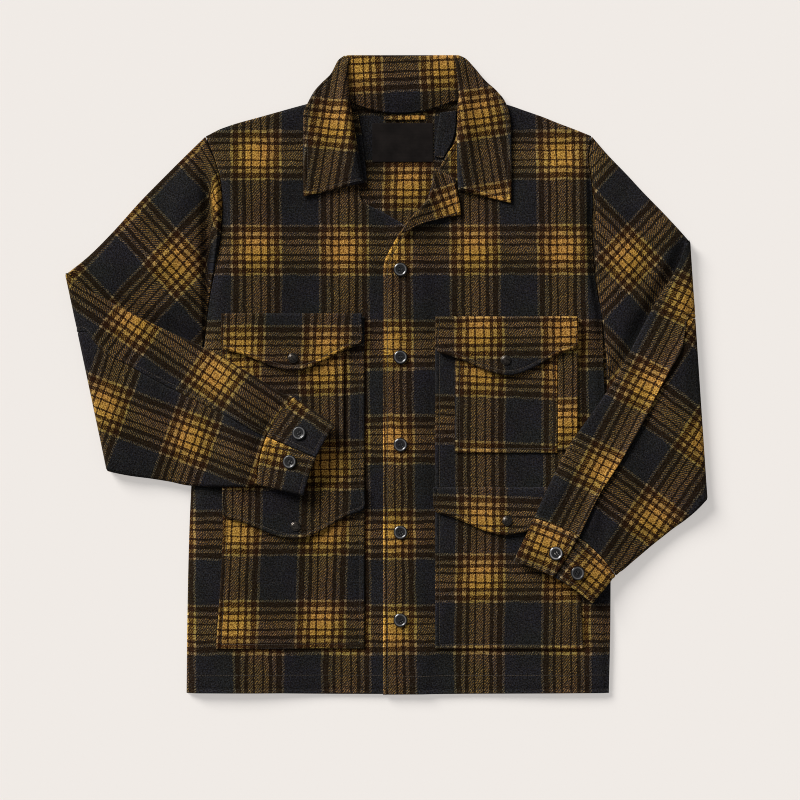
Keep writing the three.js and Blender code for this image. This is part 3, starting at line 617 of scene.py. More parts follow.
# Flat pieces
OUTWARD = {"right": -1, "left": 1}
ARMHOLE_SHARES = np.linspace(0, 1, 9)
ARMHOLE = {
    "right": dict(top=(-252, 342), bottom=(-252, 88), inset=[0, 12.5, 20.5, 22, 20, 14.5, 8.5, 3.5, 0]),
    "left": dict(top=(248, 342.5), bottom=(262, 108), inset=[0, 5.5, 3, 3, 6, 6.5, 6, 3.5, 0]),
}
SIDE_SEAM = {
    "right": [(-256, 50), (-261, 5), (-266, -50), (-271, -115), (-274, -190), (-276, -285), (-277, HEM_Y)],
    "left": [(264, 50), (266, 5), (269, -50), (271.5, -115), (273.5, -190), (273, -285), (271, HEM_Y)],
}
RIGHT_FRONT_EDGE = [
    (-NECK_HALF, 392), (-72, 358), (-65, 325), (-56, 298), (-51, 262), (-21, 243), (6, 227),
    *((OVERLAP_EDGE, y) for y in (214, 150, 95, 35, -35, -110, -190, -285, HEM_Y - 1)),
]
LEFT_FRONT_EDGE = [
    (NECK_HALF, 392), (73, 345), (57, 312), (43, 285), (34, 258), (21, 243), (7, 227), (-9, 202),
    *((FREE_EDGE, y) for y in (168, 100, 35, -35, -110, -190, -285, HEM_Y - 2)),
]


def armhole_inset(side, share):
    return pchip(ARMHOLE_SHARES, ARMHOLE[side]["inset"], clamp01(share))


def armhole(side):
    top, bottom = np.array(ARMHOLE[side]["top"], float), np.array(ARMHOLE[side]["bottom"], float)
    line = mix(top[None], bottom[None], ARMHOLE_SHARES[:, None])
    line[:, 0] -= OUTWARD[side] * np.array(ARMHOLE[side]["inset"])
    return line


def outer_line(side):
    return np.concatenate([armhole(side), np.array(SIDE_SEAM[side], float)])


def along_rows(table, step, first=True):
    """Places between a table's rows, closer together beside its ends."""
    table = np.asarray(table, float)
    lengths = np.concatenate([[0], np.cumsum(np.linalg.norm(np.diff(table, axis=0), axis=1))])
    at = edged(lengths[-1], step, first) * lengths[-1]
    return np.interp(at, lengths, np.arange(len(table)))


def ruled(side_a, side_b, at, shares):
    """A grid of straight rows between two edges given by tables of the same length."""
    index = np.arange(len(side_a))
    a, b = pchip(index, side_a, at), pchip(index, side_b, at)
    return mix(a[:, None], b[:, None], np.asarray(shares)[None, :, None])


FACES = {}  # the upper grid of each piece, which its stitches follow


def flat_piece(name, plan, under, thick=CLOTH, check=None, sewn=(), lift=None, edge_light_and_wear=0.5):
    """A piece of cloth that lies at a height under(x, y)."""
    x, y = plan[..., 0], plan[..., 1]
    low = under(x, y)
    face, lining = np.stack([x, y, low + thick], -1), np.stack([x, y, low], -1)
    if lift is not None:
        rise = lift(face)
        face[..., 2] += rise
        lining[..., 2] += rise
    face = sew_edges(face, lining, sewn)
    mapping = check if callable(check) else (lambda x, y: check_at(check or name, x, y))
    uv = mapping(x, y)
    FACES[name] = face
    build_wall(f"{name}_cloth", face, lining, uv, WOOL, [name], edge_light_and_wear=edge_light_and_wear)


def neck_seam(x):
    return NECK_Y + NECK_RISE * (x / NECK_HALF) ** 2


# Shoulders, from the neck to the armhole: how far each point stands above the straight line
SHOULDER = {
    "right": [0, 3, 5, 5.2, 5.2, 5.2, 5.5, 4.5, 0],
    "left": [0, 3.5, 7.5, 9.5, 8.3, 7, 4.5, 2.5, 0],
}


def shoulder_rise(side, share):
    return pchip(ARMHOLE_SHARES, SHOULDER[side], clamp01(share))


def raised_shoulder(plan, side):
    """A front's grid with its first rows bent up to the shoulder line."""
    share = np.linalg.norm(plan - plan[:, :1], axis=-1)
    share = share / share[:, -1:]
    down = np.linalg.norm(plan - plan[:1], axis=-1)
    plan = plan.copy()
    plan[..., 1] += shoulder_rise(side, share) * (1 - smooth(down / 32))
    return plan


def coons(top, bottom, left, right):
    """A grid between four edge lines that meet at their ends: rows from top to bottom."""
    rows, cols = len(left), len(top)
    s = np.linspace(0, 1, rows)[:, None, None]
    t = np.linspace(0, 1, cols)[None, :, None]
    between = mix(top[None], bottom[None], s) + mix(left[:, None], right[:, None], t)
    corners = mix(mix(top[0], top[-1], t), mix(bottom[0], bottom[-1], t), s)
    return between - corners


def build_back():
    """The back, which reaches a little way under the sleeves."""
    at = along_rows(outer_line("right"), 6)
    right, left = (pchip(np.arange(len(outer_line(side))), outer_line(side), at) for side in OUTWARD)
    under = 3.0 * smooth((340 - right[:, 1]) / 8) * smooth((right[:, 1] + 25) / 20)
    right[:, 0] -= under
    left[:, 0] += under + 3.0 * bell(left[:, 1] - 50, 40)
    x = np.concatenate([
        np.linspace(ARMHOLE["right"]["top"][0], -NECK_HALF, 28)[:-1], np.linspace(-NECK_HALF, NECK_HALF, 34),
        np.linspace(NECK_HALF, ARMHOLE["left"]["top"][0], 28)[1:],
    ])
    y = neck_seam(x)
    for side, out in OUTWARD.items():
        top_x, top_y = ARMHOLE[side]["top"]
        share = (out * x - NECK_HALF) / (out * top_x - NECK_HALF)
        shoulder = mix(neck_seam(NECK_HALF), top_y, share) + shoulder_rise(side, share)
        y = np.where(out * x > NECK_HALF, shoulder, y)
    hem_x = np.linspace(right[-1, 0], left[-1, 0], len(x))
    hem_y = HEM_Y - 2 * np.sin(np.linspace(0, np.pi, len(x)))
    plan = coons(np.stack([x, y], -1), np.stack([hem_x, hem_y], -1), right, left)
    flat_piece("back", plan, lambda x, y: np.zeros_like(x))


build_back()

for side, edge, measured, width, sewn, edge_light_and_wear in (
    ("right", RIGHT_FRONT_EDGE, outer_line("right"), 270, ["last_row"], 1.3),
    ("left", LEFT_FRONT_EDGE, LEFT_FRONT_EDGE, 280, ["last_row", "first_col"], 1.2),
):
    plan = ruled(edge, outer_line(side), along_rows(measured, 5, False), edged(width))
    flat_piece(f"{side}_front", raised_shoulder(plan, side), FRONT_UNDER[side], sewn=sewn, edge_light_and_wear=edge_light_and_wear)

LAPEL = [
    dict(roll=(0.5, 214.5), edge=(6, 217)), dict(roll=(7, 227), edge=(31, 229)),
    dict(roll=(16, 238), edge=(62, 237)), dict(roll=(27, 250), edge=(79, 241)),
    dict(roll=(39, 268), edge=(77, 258)), dict(roll=(42, 288), edge=(74.5, 270)),
    dict(roll=(45, 300), edge=(72, 287)),
]


def lapel_under(x, y):
    return on_front("left", 0)(x, y) + 1.6 * smooth((75 - x) / 30)


lapel_plan = ruled(
    [r["roll"] for r in LAPEL], [r["edge"] for r in LAPEL], np.linspace(0, 6, 34), edged(45, 3),
)
flat_piece(
    "left_lapel", lapel_plan, lapel_under, 5.0, "lapel", ["last_col"],
    lift=lambda f: 1.5 * bell(edge_distance(f, "first_col"), 9), edge_light_and_wear=1.2,
)

NECK_FACING = {
    "right": dict(
        seam=[(-73.3, 376), (-71, 357), (-64, 325), (-55, 299), (-50.5, 276)],
        edge=[(-55, 373), (-51, 355), (-47, 325), (-44, 299), (-42, 276)],
    ),
    "left": dict(
        seam=[(73.5, 376), (72, 350), (68, 336), (56, 313.5)],
        edge=[(52, 373), (48, 350), (46, 333), (44.5, 316)],
    ),
}
for side, rows in NECK_FACING.items():
    count = len(rows["seam"])
    plan = ruled(rows["seam"], rows["edge"], np.linspace(0, count - 1, 24), np.linspace(0, 1, 8))
    flat_piece(f"{side}_neck_facing", plan, lambda x, y: np.full_like(x, LAYER), check=f"{side}_facing")

# Pockets
PANEL_INNER = {"right": -46, "left": 45.5}
PANEL_OUTER = {
    "right": [
        (-231, 108), (-230, 40), (-229.5, -30), (-229, -100), (-229.5, -170), (-232.5, -240), (-238, -322),
    ],
    "left": [(231, 106), (231, 40), (230, -30), (230, -100), (231, -170), (233.5, -240), (237, -323)],
}
THREE_SIDES = ["last_row", "first_col", "last_col"]
UNDER_FLAP = -145  # the opening of the lower pocket, behind its flap


def panel_check(side):
    def mapping(x, y):
        low = check_at(f"{side}_panel_low", x, y)
        high = check_at(f"{side}_panel", x, y)
        return np.where((y < UNDER_FLAP)[..., None], low, high)
    return mapping


for side, outer in PANEL_OUTER.items():
    inner = [(PANEL_INNER[side], y) for _, y in outer]
    plan = ruled(inner, outer, along_rows(inner, 5), edged(185))
    flat_piece(f"{side}_pocket_panel", plan, on_front(side, 0), check=panel_check(side), sewn=THREE_SIDES)

POCKETS = {
    "right_chest_pocket": ("right", -205, -72, -68.5, THREE_SIDES),
    "left_chest_pocket": ("left", 71, 203.8, -68.5, THREE_SIDES),
    "left_pen_pocket": ("left", 204.1, 229.5, -65, ["last_row"]),
}
POCKET_TOP = 100  # under the flap
for name, (side, x0, x1, bottom, sewn) in POCKETS.items():
    gx, gy = np.meshgrid(mix(x0, x1, edged(x1 - x0)), mix(POCKET_TOP, bottom, edged(POCKET_TOP - bottom)))
    flat_piece(name, np.stack([gx, gy], -1), on_front(side, 1), sewn=sewn)

# The side, the layers under it, its two ends, its top, the heights of its corners, and its point
FLAP = {
    "right_chest_flap": ("right", 2, -231, -48.5, 112, (64, 70), (-136.5, 38)),
    "left_chest_flap": ("left", 2, 45.5, 230, 108, (60, 65), (140, 32)),
    "right_lower_flap": ("right", 1, -230, -45.5, -110.5, (-153, -145), (-135, -180)),
    "left_lower_flap": ("left", 1, 42.8, 229, -112.7, (-147, -150), (137, -175)),
}
FLAP_CORNER = 10.0


def flap_bottom(x, x0, x1, corners, point):
    left = mix(corners[0], point[1], smooth((x - x0) / (point[0] - x0)))
    right = mix(corners[1], point[1], smooth((x - x1) / (point[0] - x1)))
    inside = np.clip(FLAP_CORNER - np.minimum(x - x0, x1 - x), 0, FLAP_CORNER)
    rounding = FLAP_CORNER - np.sqrt(np.maximum(FLAP_CORNER**2 - inside**2, 0))
    return np.where(x < point[0], left, right) + rounding


def flap_piece(name, side, layers, x0, x1, top, corners, point):
    width = x1 - x0
    near = np.array([0, 0.7, 1.7, 3.0, 4.5, 6.2, 8.2, 10.5])
    middle = np.linspace(near[-1], width - near[-1], 34)[1:-1]
    x = x0 + np.concatenate([near, middle, width - near[::-1]])
    y = mix(top, flap_bottom(x, x0, x1, corners, point)[None], edged(60, 4, False)[:, None])

    def lift(face):
        tip = bell(np.hypot(face[..., 0] - point[0], face[..., 1] - point[1]), 55)
        return (0.5 + 1.1 * tip) * bell(edge_distance(face, "last_row"), 16)

    plan = np.stack([np.broadcast_to(x, y.shape), y], -1)
    flat_piece(name, plan, on_front(side, layers), DOUBLE, sewn=THREE_SIDES, lift=lift)


for name, flap in FLAP.items():
    flap_piece(name, *flap)


# Sleeves and cuffs
SLEEVE = {
    "right": dict(
        outer_edge=[(-252, 342), (-279.5, 316), (-305, 290.5), (-331, 264), (-375, 215.5), (-407, 184)],
        underarm=[(-252, 88), (-259.5, 58), (-275, 29)],
        fold=dict(outer=(-434, 163.5), inner=(-380, -92)),
        seam=(0.3, 0.48),
        # each row's outer and inner end, how high it lies at both ends and its middle, and its bow
        forearm=[
            ((-400, 141), (-352, -98), (9, 9, 7), 0), ((-361, 120), (-323, -102), (9, 8.5, 5), 0),
            ((-312, 95), (-298, -106), (9.2, 8.5, 5.5), 0), ((-266, 74), (-272, -111), (10, 10, 8), 1),
            ((-228, 55), (-245, -112), (11, 12, 11), 4), ((-187, 30), (-215, -112), (12.6, 12.8, 13.4), 8),
            ((-152, 9), (-195, -112), (12.8, 12.8, 13.8), 11.5),
            ((-138, 4.4), (-184, -110), (12.8, 12.8, 13.8), 12.5),
        ],
        cuff=[((-84, -32), (-124, -123), (12.6, 12.6, 13.8), 5)],
    ),
    "left": dict(
        outer_edge=[(248, 342.5), (270, 318), (295, 292), (318, 267), (340, 244.5), (361.5, 221.5)],
        underarm=[(262, 108), (268, 54), (269.5, 8)],
        fold=dict(outer=(376, 206.5), inner=(398.5, -129)),
        seam=(0.3, 0.48),
        forearm=[
            ((352, 160), (384, -143), (9, 9, 7.5), 0), ((334, 132), (369, -156), (9, 9, 5.5), 0),
            ((316, 99), (355, -166), (9, 8, 4.5), 0), ((296, 60), (341, -177), (9.2, 7.5, 4.5), 0),
            ((272, 18), (327, -188), (10.5, 8, 5), 0), ((245, -21), (315, -198), (12, 9.5, 6), 2),
            ((215, -64), (303, -208), (13, 12, 7), 5), ((193, -108), (291, -218), (13.8, 13.6, 8.5), 9),
            ((173, -152), (279, -227), (13.8, 13.4, 10), 13),
        ],
        cuff=[
            ((161, -177), (265.5, -243), (13.8, 12.6, 10), 11),
            ((146, -208), (248, -263), (11.5, 11, 9.5), 7),
        ],
    ),
}
FOLD_STEPS = 6


def fold_axis(side):
    outer, inner = (np.array(SLEEVE[side]["fold"][k], float) for k in ("outer", "inner"))
    dx, dy = (inner - outer) / np.linalg.norm(inner - outer)
    away = np.array([-dy, dx]) * OUTWARD[side]
    return outer - away * FOLD_CENTRE, inner - away * FOLD_CENTRE, away


def lift_at(lift, share):
    a, b, c = lift
    rest = 1 - share
    return a * rest * (1 - 2 * share) + b * 4 * share * rest + c * share * (2 * share - 1)


class Row:
    """One row across a sleeve. at() gives places and, beside them, the plan of the cloth laid out."""

    def __init__(self, kind, outer, inner, thick, **more):
        self.kind, self.thick, self.more = kind, thick, more
        self.outer, self.inner = np.array(outer, float), np.array(inner, float)
        self.length = np.linalg.norm(self.inner - self.outer)

    def at(self, share, w, plan_share):
        m = self.more
        flat = mix(self.outer[None], self.inner[None], share[:, None])
        plan = mix(self.outer[None], self.inner[None], plan_share[:, None])
        if self.kind == "flat":
            shift = -OUTWARD[m["side"]] * armhole_inset(m["side"], share) * m["fade"] + m["shift"]
            flat[:, 0] += shift
            plan[:, 0] += shift
            z = w
        elif self.kind == "turn":
            radius = FOLD_CENTRE - w
            angle = m["angle"]
            ends = np.exp(-share * self.length / 9) + np.exp(-(1 - share) * self.length / 9)
            corner = 0.85 * FOLD_CENTRE * (1 - math.sin(angle)) * ends
            flat = flat + m["away"][None] * (radius * math.sin(angle) + corner)[:, None]
            arc = radius * (math.pi / 2 - abs(angle - math.pi / 2))
            plan = plan + m["away"][None] * arc[:, None]
            z = FOLD_CENTRE - radius * math.cos(angle)
        else:
            bow = (m["bow"] * 4 * share * (1 - share))[:, None] * m["back"][None]
            flat, plan = flat + bow, plan + bow
            z = lift_at(m["lift"], share) + self.thick - w
        return np.concatenate([flat, z[:, None], plan], 1)


def cuff_back(side):
    """The way from the cuff towards the elbow."""
    end, last = SLEEVE[side]["forearm"][-1], SLEEVE[side]["forearm"][-3]
    a = np.mean(np.array(end[:2], float), axis=0)
    b = np.mean(np.array(last[:2], float), axis=0)
    return (b - a) / np.linalg.norm(b - a)


def sleeve_rows(side):
    table = SLEEVE[side]
    axis_outer, axis_inner, away = fold_axis(side)
    underarm = [np.array(p, float) for p in table["underarm"]]
    edge = [np.array(p, float) for p in table["outer_edge"]] + [axis_outer]
    steps = len(edge) - 1
    rows = []
    for i in range(steps):
        inner = underarm[i] if i < len(underarm) else mix(underarm[0], axis_inner, i / steps)
        rows.append(Row(
            "flat", edge[i], inner, mix(ARMHOLE_THICK, SLEEVE_THICK, float(smooth(i / steps))),
            side=side, fade=(1 - i / steps) ** 2, shift=0 if i else OUTWARD[side] * ARMHOLE_GAP,
        ))
    for j in range(FOLD_STEPS + 1):
        angle = math.pi * j / FOLD_STEPS
        rows.append(Row("turn", axis_outer, axis_inner, SLEEVE_THICK, away=away, angle=angle))
    first = len(rows)
    n = len(table["forearm"])
    back = cuff_back(side)
    for i, (outer, inner, lift, bow) in enumerate(table["forearm"]):
        thick = mix(SLEEVE_THICK, FOREARM_THICK, (i + 1) / n)
        rows.append(Row("lift", outer, inner, thick, lift=lift, bow=bow, back=back))
    return rows, first


def side_station(row, share, seam_side, wall):
    """A place on one of a row's two sides, on the cloth's face and on its lining."""
    inset = row.thick / 2 / row.length
    place = np.clip(share, inset, 1 - inset)
    w = 0.0 if seam_side else row.thick
    inner_w = wall if seam_side else row.thick - wall
    return (place, w, place), (place, inner_w, place)


def edge_station(row, at_outer, angle, wall):
    """A place round one of a row's two ends."""
    half = row.thick / 2
    hollow = half - wall
    inset = (half - half * math.sin(angle)) / row.length
    inner_inset = (half - hollow * math.sin(angle)) / row.length
    plan = (half - half * min(angle, math.pi - angle)) / row.length
    flip = (lambda s: s) if at_outer else (lambda s: 1 - s)
    w, inner_w = half - half * math.cos(angle), half - hollow * math.cos(angle)
    return (flip(inset), w, flip(plan)), (flip(inner_inset), inner_w, flip(plan))


def tube_grid(rows, stations, at):
    """Grids of the face and lining along a sleeve. stations(row, i) lists pairs of (share, w, plan)."""
    faces, linings, shares = [], [], []
    for i, row in enumerate(rows):
        pairs = np.array(stations(row, i), float)
        faces.append(row.at(*pairs[:, 0].T))
        linings.append(row.at(*pairs[:, 1].T))
        shares.append(pairs[:, 0, 0])
    # every piece of a sleeve is measured along this one line
    line_share, on_face = np.array([0.4]), np.array([0.0])
    middle = np.array([row.at(line_share, on_face, line_share)[0, :3] for row in rows])
    length = np.concatenate([[0], np.cumsum(np.linalg.norm(np.diff(middle, axis=0), axis=1) + 1e-6)])
    where = at(length)
    return *(pchip(length, np.array(grid), where) for grid in (faces, linings, shares)), where, length


INNER_SEAM_HALF = math.radians(4)
FAR_OFF = 100.0  # stands for a distance that no longer matters
# Soft creases of the sleeves, on the side that lies up: two ends, half width and height
UPPER_CREASES = {
    "right": [
        (-262, 300, -300, 210, 17, 2.4), (-258, 215, -318, 172, 14, 2.0), (-256, 150, -300, 118, 12, 1.7),
        (-330, 262, -352, 205, 20, 1.4), (-395, 182, -362, 158, 14, 1.4),
    ],
    "left": [
        (262, 300, 292, 235, 16, 2.4), (268, 225, 300, 160, 13, 2.0), (276, 150, 292, 95, 12, 1.5),
        (312, 262, 338, 200, 18, 1.6), (356, 216, 330, 160, 15, 1.5), (372, 196, 356, 176, 9, 1.2),
    ],
}
FORE_CREASES = {
    "right": [
        (-405, 128, -372, 40, 18, 1.5), (-340, 92, -300, -70, 24, 1.3), (-255, 48, -262, -90, 20, 1.2),
        (-215, 20, -178, -12, 7, 1.2), (-222, -8, -180, -34, 7, 1.5), (-225, -34, -186, -55, 6, 1.2),
        (-228, -62, -192, -80, 7, 1.3), (-228, -90, -198, -98, 6, 0.9),
    ],
    "left": [
        (366, 150, 378, 40, 16, 1.4), (330, 80, 360, -90, 24, 1.3), (280, 5, 300, -120, 20, 1.2),
        (222, -85, 204, -128, 6, 1.3), (238, -100, 222, -142, 6, 1.2), (262, -122, 246, -168, 6, 1.3),
        (286, -150, 268, -192, 7, 1.1),
    ],
}
# Down the armhole: how far in a ridge stands and how high, where the arm's crown starts and over what
# width it rises, and how much cloth the hollow takes up
FORM_SHARES = [0, 0.17, 0.32, 0.53, 0.68, 0.95, 1]
ARMHOLE_FORM = {
    "right": dict(
        ridge_at=[8, 8, 8.5, 7, 4, 2, 2], ridge_high=[0, 5, 8.5, 6.5, 2, 0, 0],
        start=[17, 20, 30, 31, 22, 8, 5], slope=12, hidden=[0, 12, 30, 24, 8, 0, 0],
    ),
    "left": dict(
        ridge_at=[8] * 7, ridge_high=[0] * 7,
        start=[3, 3, 5, 9, 6, 5, 3], slope=10, hidden=[0, 6, 10, 8, 4, 0, 0],
    ),
}
SEAM_RISE = {"right": (0.9, 0.4), "left": (4.6, 2.2)}  # of the top sleeve over the under sleeve


def armhole_form(side, key, share):
    return pchip(FORM_SHARES, ARMHOLE_FORM[side][key], clamp01(share))


def body_lift(x, y):
    """What the relief of the fronts adds to a sleeve that lies on them."""
    over = smooth((262 - np.abs(x)) / 60)
    return relief(x, y) * over


def shape_sleeve(side, face, lining, share, along, fold_at, far_side, seam_gap, top_piece):
    """Adds the soft form to a sleeve's grids: its roundness, creases and the raised elbow seam."""
    x, y = face[..., 3], face[..., 4]
    on_upper, on_fore = (along < fold_at[0])[:, None], (along > fold_at[1])[:, None]
    share = clamp01(share)
    crown = (4 * share * (1 - share)) ** 0.6
    forearm_line = [SLEEVE[side]["fold"]["outer"]] + [row[0] for row in SLEEVE[side]["forearm"]]
    clear = inside_distance(x, y, forearm_line) * -OUTWARD[side]
    off = edge_distance(face[..., :3], "first_row")
    start = armhole_form(side, "start", share)
    head = armhole_form(side, "ridge_high", share) * bell(off - armhole_form(side, "ridge_at", share), 6.5)
    folds = 1.5 * soft_ridges(UPPER_CREASES[side], x, y, 2.5, 17, 1)
    body = (7.6 * crown + folds) * smooth((off - start) / ARMHOLE_FORM[side]["slope"])
    rise = (head + body) * smooth((clear - 1) / 17) * on_upper * far_side
    down = clamp01((along[:, None] - fold_at[1]) / (along[-1] - fold_at[1]))
    folds = 1.5 * soft_ridges(FORE_CREASES[side], x, y, 2.5, 17, 1) * (1 - smooth((down - 0.97) / 0.03))
    fore_crown = 2.6 * crown * (1 - smooth((down - 0.86) / 0.14)) * smooth(down * 8)
    if top_piece:
        by_seam = SEAM_RISE[side][0] * bell(seam_gap, 7.5)
    else:
        by_seam = -SEAM_RISE[side][1] * bell(seam_gap, 5.0)
    rise = rise + (fore_crown + folds + by_seam * smooth(down * 6)) * on_fore * (1 - far_side)
    lift = body_lift(face[..., 0], face[..., 1]) * on_fore
    for grid in (face, lining):
        grid[..., 2] += lift + rise


def build_sleeve(side):
    rows, first = sleeve_rows(side)
    seam = SLEEVE[side]["seam"]
    n_fore = len(SLEEVE[side]["forearm"])
    t_seam = 1 - edged(70, 5, True, False)
    angles = np.radians([26, 52, 78, 90, 102, 128, 154])
    t_under = np.concatenate([np.linspace(0, 0.9, 34), 1 - edged(60, 20, True, False)[::-1][-6:]])
    t_under = np.unique(np.round(t_under, 5))

    def seam_at(i):
        return mix(seam[0], seam[1], float(clamp01((i - first + 1) / n_fore)))

    def round_inner_end(row, angles):
        return [edge_station(row, False, a, CLOTH) for a in angles]

    def top_stations(row, i):
        end = seam_at(i) - SEAM / 2 / row.length
        found = [side_station(row, end * t, True, CLOTH) for t in t_seam]
        found += [edge_station(row, True, a, CLOTH) for a in angles]
        found += [side_station(row, share, False, CLOTH) for share in np.linspace(0, 1, 56)]
        return found + round_inner_end(row, [*np.radians([154, 128, 102]), math.pi / 2 + INNER_SEAM_HALF])

    def under_stations(row, i):
        start = seam_at(i) + SEAM / 2 / row.length
        found = round_inner_end(row, [math.pi / 2 - INNER_SEAM_HALF, *np.radians([64, 38, 16])])
        return found + [side_station(row, mix(1, start, t), True, CLOTH) for t in t_under]

    def fold_ends(length):
        return length[first - FOLD_STEPS - 1], length[first - 1]

    def places(length):
        start, end = fold_ends(length)
        upper, fore = edged(start, 5, True, False) * start, edged(length[-1] - end, 5, False)[1:]
        return np.concatenate([upper, np.linspace(start, end, 17)[1:], end + fore * (length[-1] - end)])

    n_seam, n_edge = len(t_seam), len(angles)
    for piece, stations in (("top", top_stations), ("under", under_stations)):
        is_top = piece == "top"
        face, lining, share, along, length = tube_grid(rows, stations, places)
        cols = face.shape[1]
        far_side = np.zeros(cols)
        if is_top:
            far_side[n_seam + n_edge:] = 1
            far_side[n_seam:n_seam + n_edge] = smooth(np.linspace(0, 1, n_edge))
            gap = np.concatenate([70 * (1 - t_seam), np.full(cols - n_seam, FAR_OFF)])
        else:
            gap = np.concatenate([np.full(cols - len(t_under), FAR_OFF), 110 * (1 - t_under)])
        shape_sleeve(side, face, lining, share, along, fold_ends(length), far_side[None], gap[None], is_top)
        x, y = face[..., 3], face[..., 4]
        face, lining = face[..., :3].copy(), lining[..., :3].copy()
        off = edge_distance(face, "first_row")
        start, hidden = (armhole_form(side, key, share) for key in ("start", "hidden"))
        hidden = hidden * (1 - smooth((off - start + 6) / 5))
        fore_map = check_at(f"{side}_fore_{piece}", x, y)
        upper_map = check_at(f"{side}_upper", x - OUTWARD[side] * hidden, y)
        face = sew_edges(face, lining, ["first_col", "last_row"] if is_top else ["last_row"], depth=0.6)
        name = f"{side}_{piece}_sleeve"
        FACES[name] = face
        cut = (n_seam + n_edge // 2, upper_map) if is_top else None
        build_wall(f"{name}_cloth", face, lining, fore_map, WOOL, [name], cut=cut)


LAP = {"right": 0.35, "left": 1.0}  # how much of the lapped vent shows
CUFF_RISE = {"right": 10.5, "left": 4.2}  # of the cuff's open end
CUFF_ANGLES = np.radians([20, 45, 68, 90, 112, 135, 160])
CUFF_FAR = np.linspace(0, 1, 26)


def cuff_rows(side):
    forearm, cuff = SLEEVE[side]["forearm"], SLEEVE[side]["cuff"]
    start, end = forearm[-1], cuff[0]
    step = SEAM / math.hypot(end[0][0] - start[0][0], end[0][1] - start[0][1])
    first = (
        mix(np.array(start[0], float), np.array(end[0], float), step),
        mix(np.array(start[1], float), np.array(end[1], float), step), start[2], start[3],
    )
    back = cuff_back(side)
    return [Row("lift", o, i, CUFF_THICK, lift=l, bow=b, back=back) for o, i, l, b in (first, *cuff)]


def build_cuff(side):
    vent = SLEEVE[side]["seam"][1]
    lap = edged(60, 4, True, False)  # down from the vent, on both of its sides

    def stations(row, i):
        half = SEAM / row.length
        found = [side_station(row, mix(vent - half, 0, t), True, CUFF_WALL) for t in lap]
        found += [edge_station(row, True, a, CUFF_WALL) for a in CUFF_ANGLES]
        found += [side_station(row, share, False, CUFF_WALL) for share in CUFF_FAR]
        found += [edge_station(row, False, a, CUFF_WALL) for a in CUFF_ANGLES[::-1]]
        return found + [side_station(row, mix(vent + half, 1, t), True, CUFF_WALL) for t in lap[::-1]]

    def places(length):
        return edged(length[-1], 3.5) * length[-1]

    face, lining, share, along, length = tube_grid(cuff_rows(side), stations, places)
    n_lap, n_end, n_far = len(lap), len(CUFF_ANGLES), len(CUFF_FAR)
    to_far = np.linspace(0, 1, n_end)
    up = 1 - np.concatenate([np.zeros(n_lap), to_far, np.ones(n_far), to_far[::-1], np.zeros(n_lap)])[None]
    gap_top = np.concatenate([60 * lap, np.full(face.shape[1] - n_lap, FAR_OFF)])[None]
    raised = LAP[side] * (1.9 * smooth((26 - gap_top) / 24) - 0.9 * smooth((16 - gap_top[:, ::-1]) / 15))
    crown = 1.4 * (4 * share * (1 - share))
    lift = body_lift(face[..., 0], face[..., 1]) + CUFF_RISE[side] * smooth(along / length[-1])[:, None]
    for grid in (face, lining):
        grid[..., 2] += lift + (raised + crown) * up
    x, y = face[..., 3], face[..., 4]
    top_map, under_map = (check_at(f"{side}_cuff_{part}", x, y) for part in ("top", "under"))
    face, lining = face[..., :3].copy(), lining[..., :3].copy()
    face = sew_edges(face, lining, EDGES, depth=0.6)
    name = f"{side}_cuff"
    FACES[name] = face
    cut = (n_lap + n_end + n_far // 2, under_map)
    build_wall(f"{name}_cloth", face, lining, top_map, WOOL, [name], cut=cut, edge_light_and_wear=1.2)


for side in OUTWARD:
    build_sleeve(side)
    build_cuff(side)


# Collar
# Each row of a leaf: its roll, its edge, what lies under it, and its thickness at the edge and the roll
RIGHT_LEAF = [
    ((-46, 281.5), (-125, 263), 6, 4, 8.4), ((-50, 303), (-125.5, 300), 6, 4, 8.6),
    ((-54, 325), (-125.5, 347), 6, 4, 8.8), ((-58, 348), (-125, 372), 6, 4, 8.8),
    ((-62, 371), (-119.5, 385), 6, 4.4, 9), ((-65, 393), (-112, 399), 6, 5, 9),
    ((-65.5, 406), (-101, 412), 3, 6.5, 9.6), ((-66, 420), (-90, 423), 1, 7.4, 10),
    ((-66, 434), (-80, 441), 0, 7.8, 9.4), ((-62, 444), (-72, 447), 0, 7.8, 8.6),
]
LEFT_LEAF = [
    ((75.3, 272), (144, 254.5), 6, 4, 8.4), ((74, 296), (144.5, 292), 6, 4, 8.6),
    ((73.5, 318), (144.5, 330), 6, 4, 8.8), ((74, 345), (143.5, 360), 6, 4, 8.8),
    ((74, 371), (137, 385), 6, 4.4, 9), ((76, 393), (126, 400), 6, 5, 9),
    ((75, 406), (111, 414), 3, 6.5, 9.6), ((73, 420), (96, 432), 1, 7.4, 10),
    ((72, 434), (85.5, 443), 0, 7.8, 9.4), ((68, 444), (77, 447), 0, 7.8, 8.6),
]
LEAF_SHARES = [0, 0.06, 0.2, 0.45, 0.75, 1]
ROLL_LEVEL = [0.55, 0.93, 1, 1, 1, 1]
ROLL_RISE = {"right": 8.5, "left": 2.6}


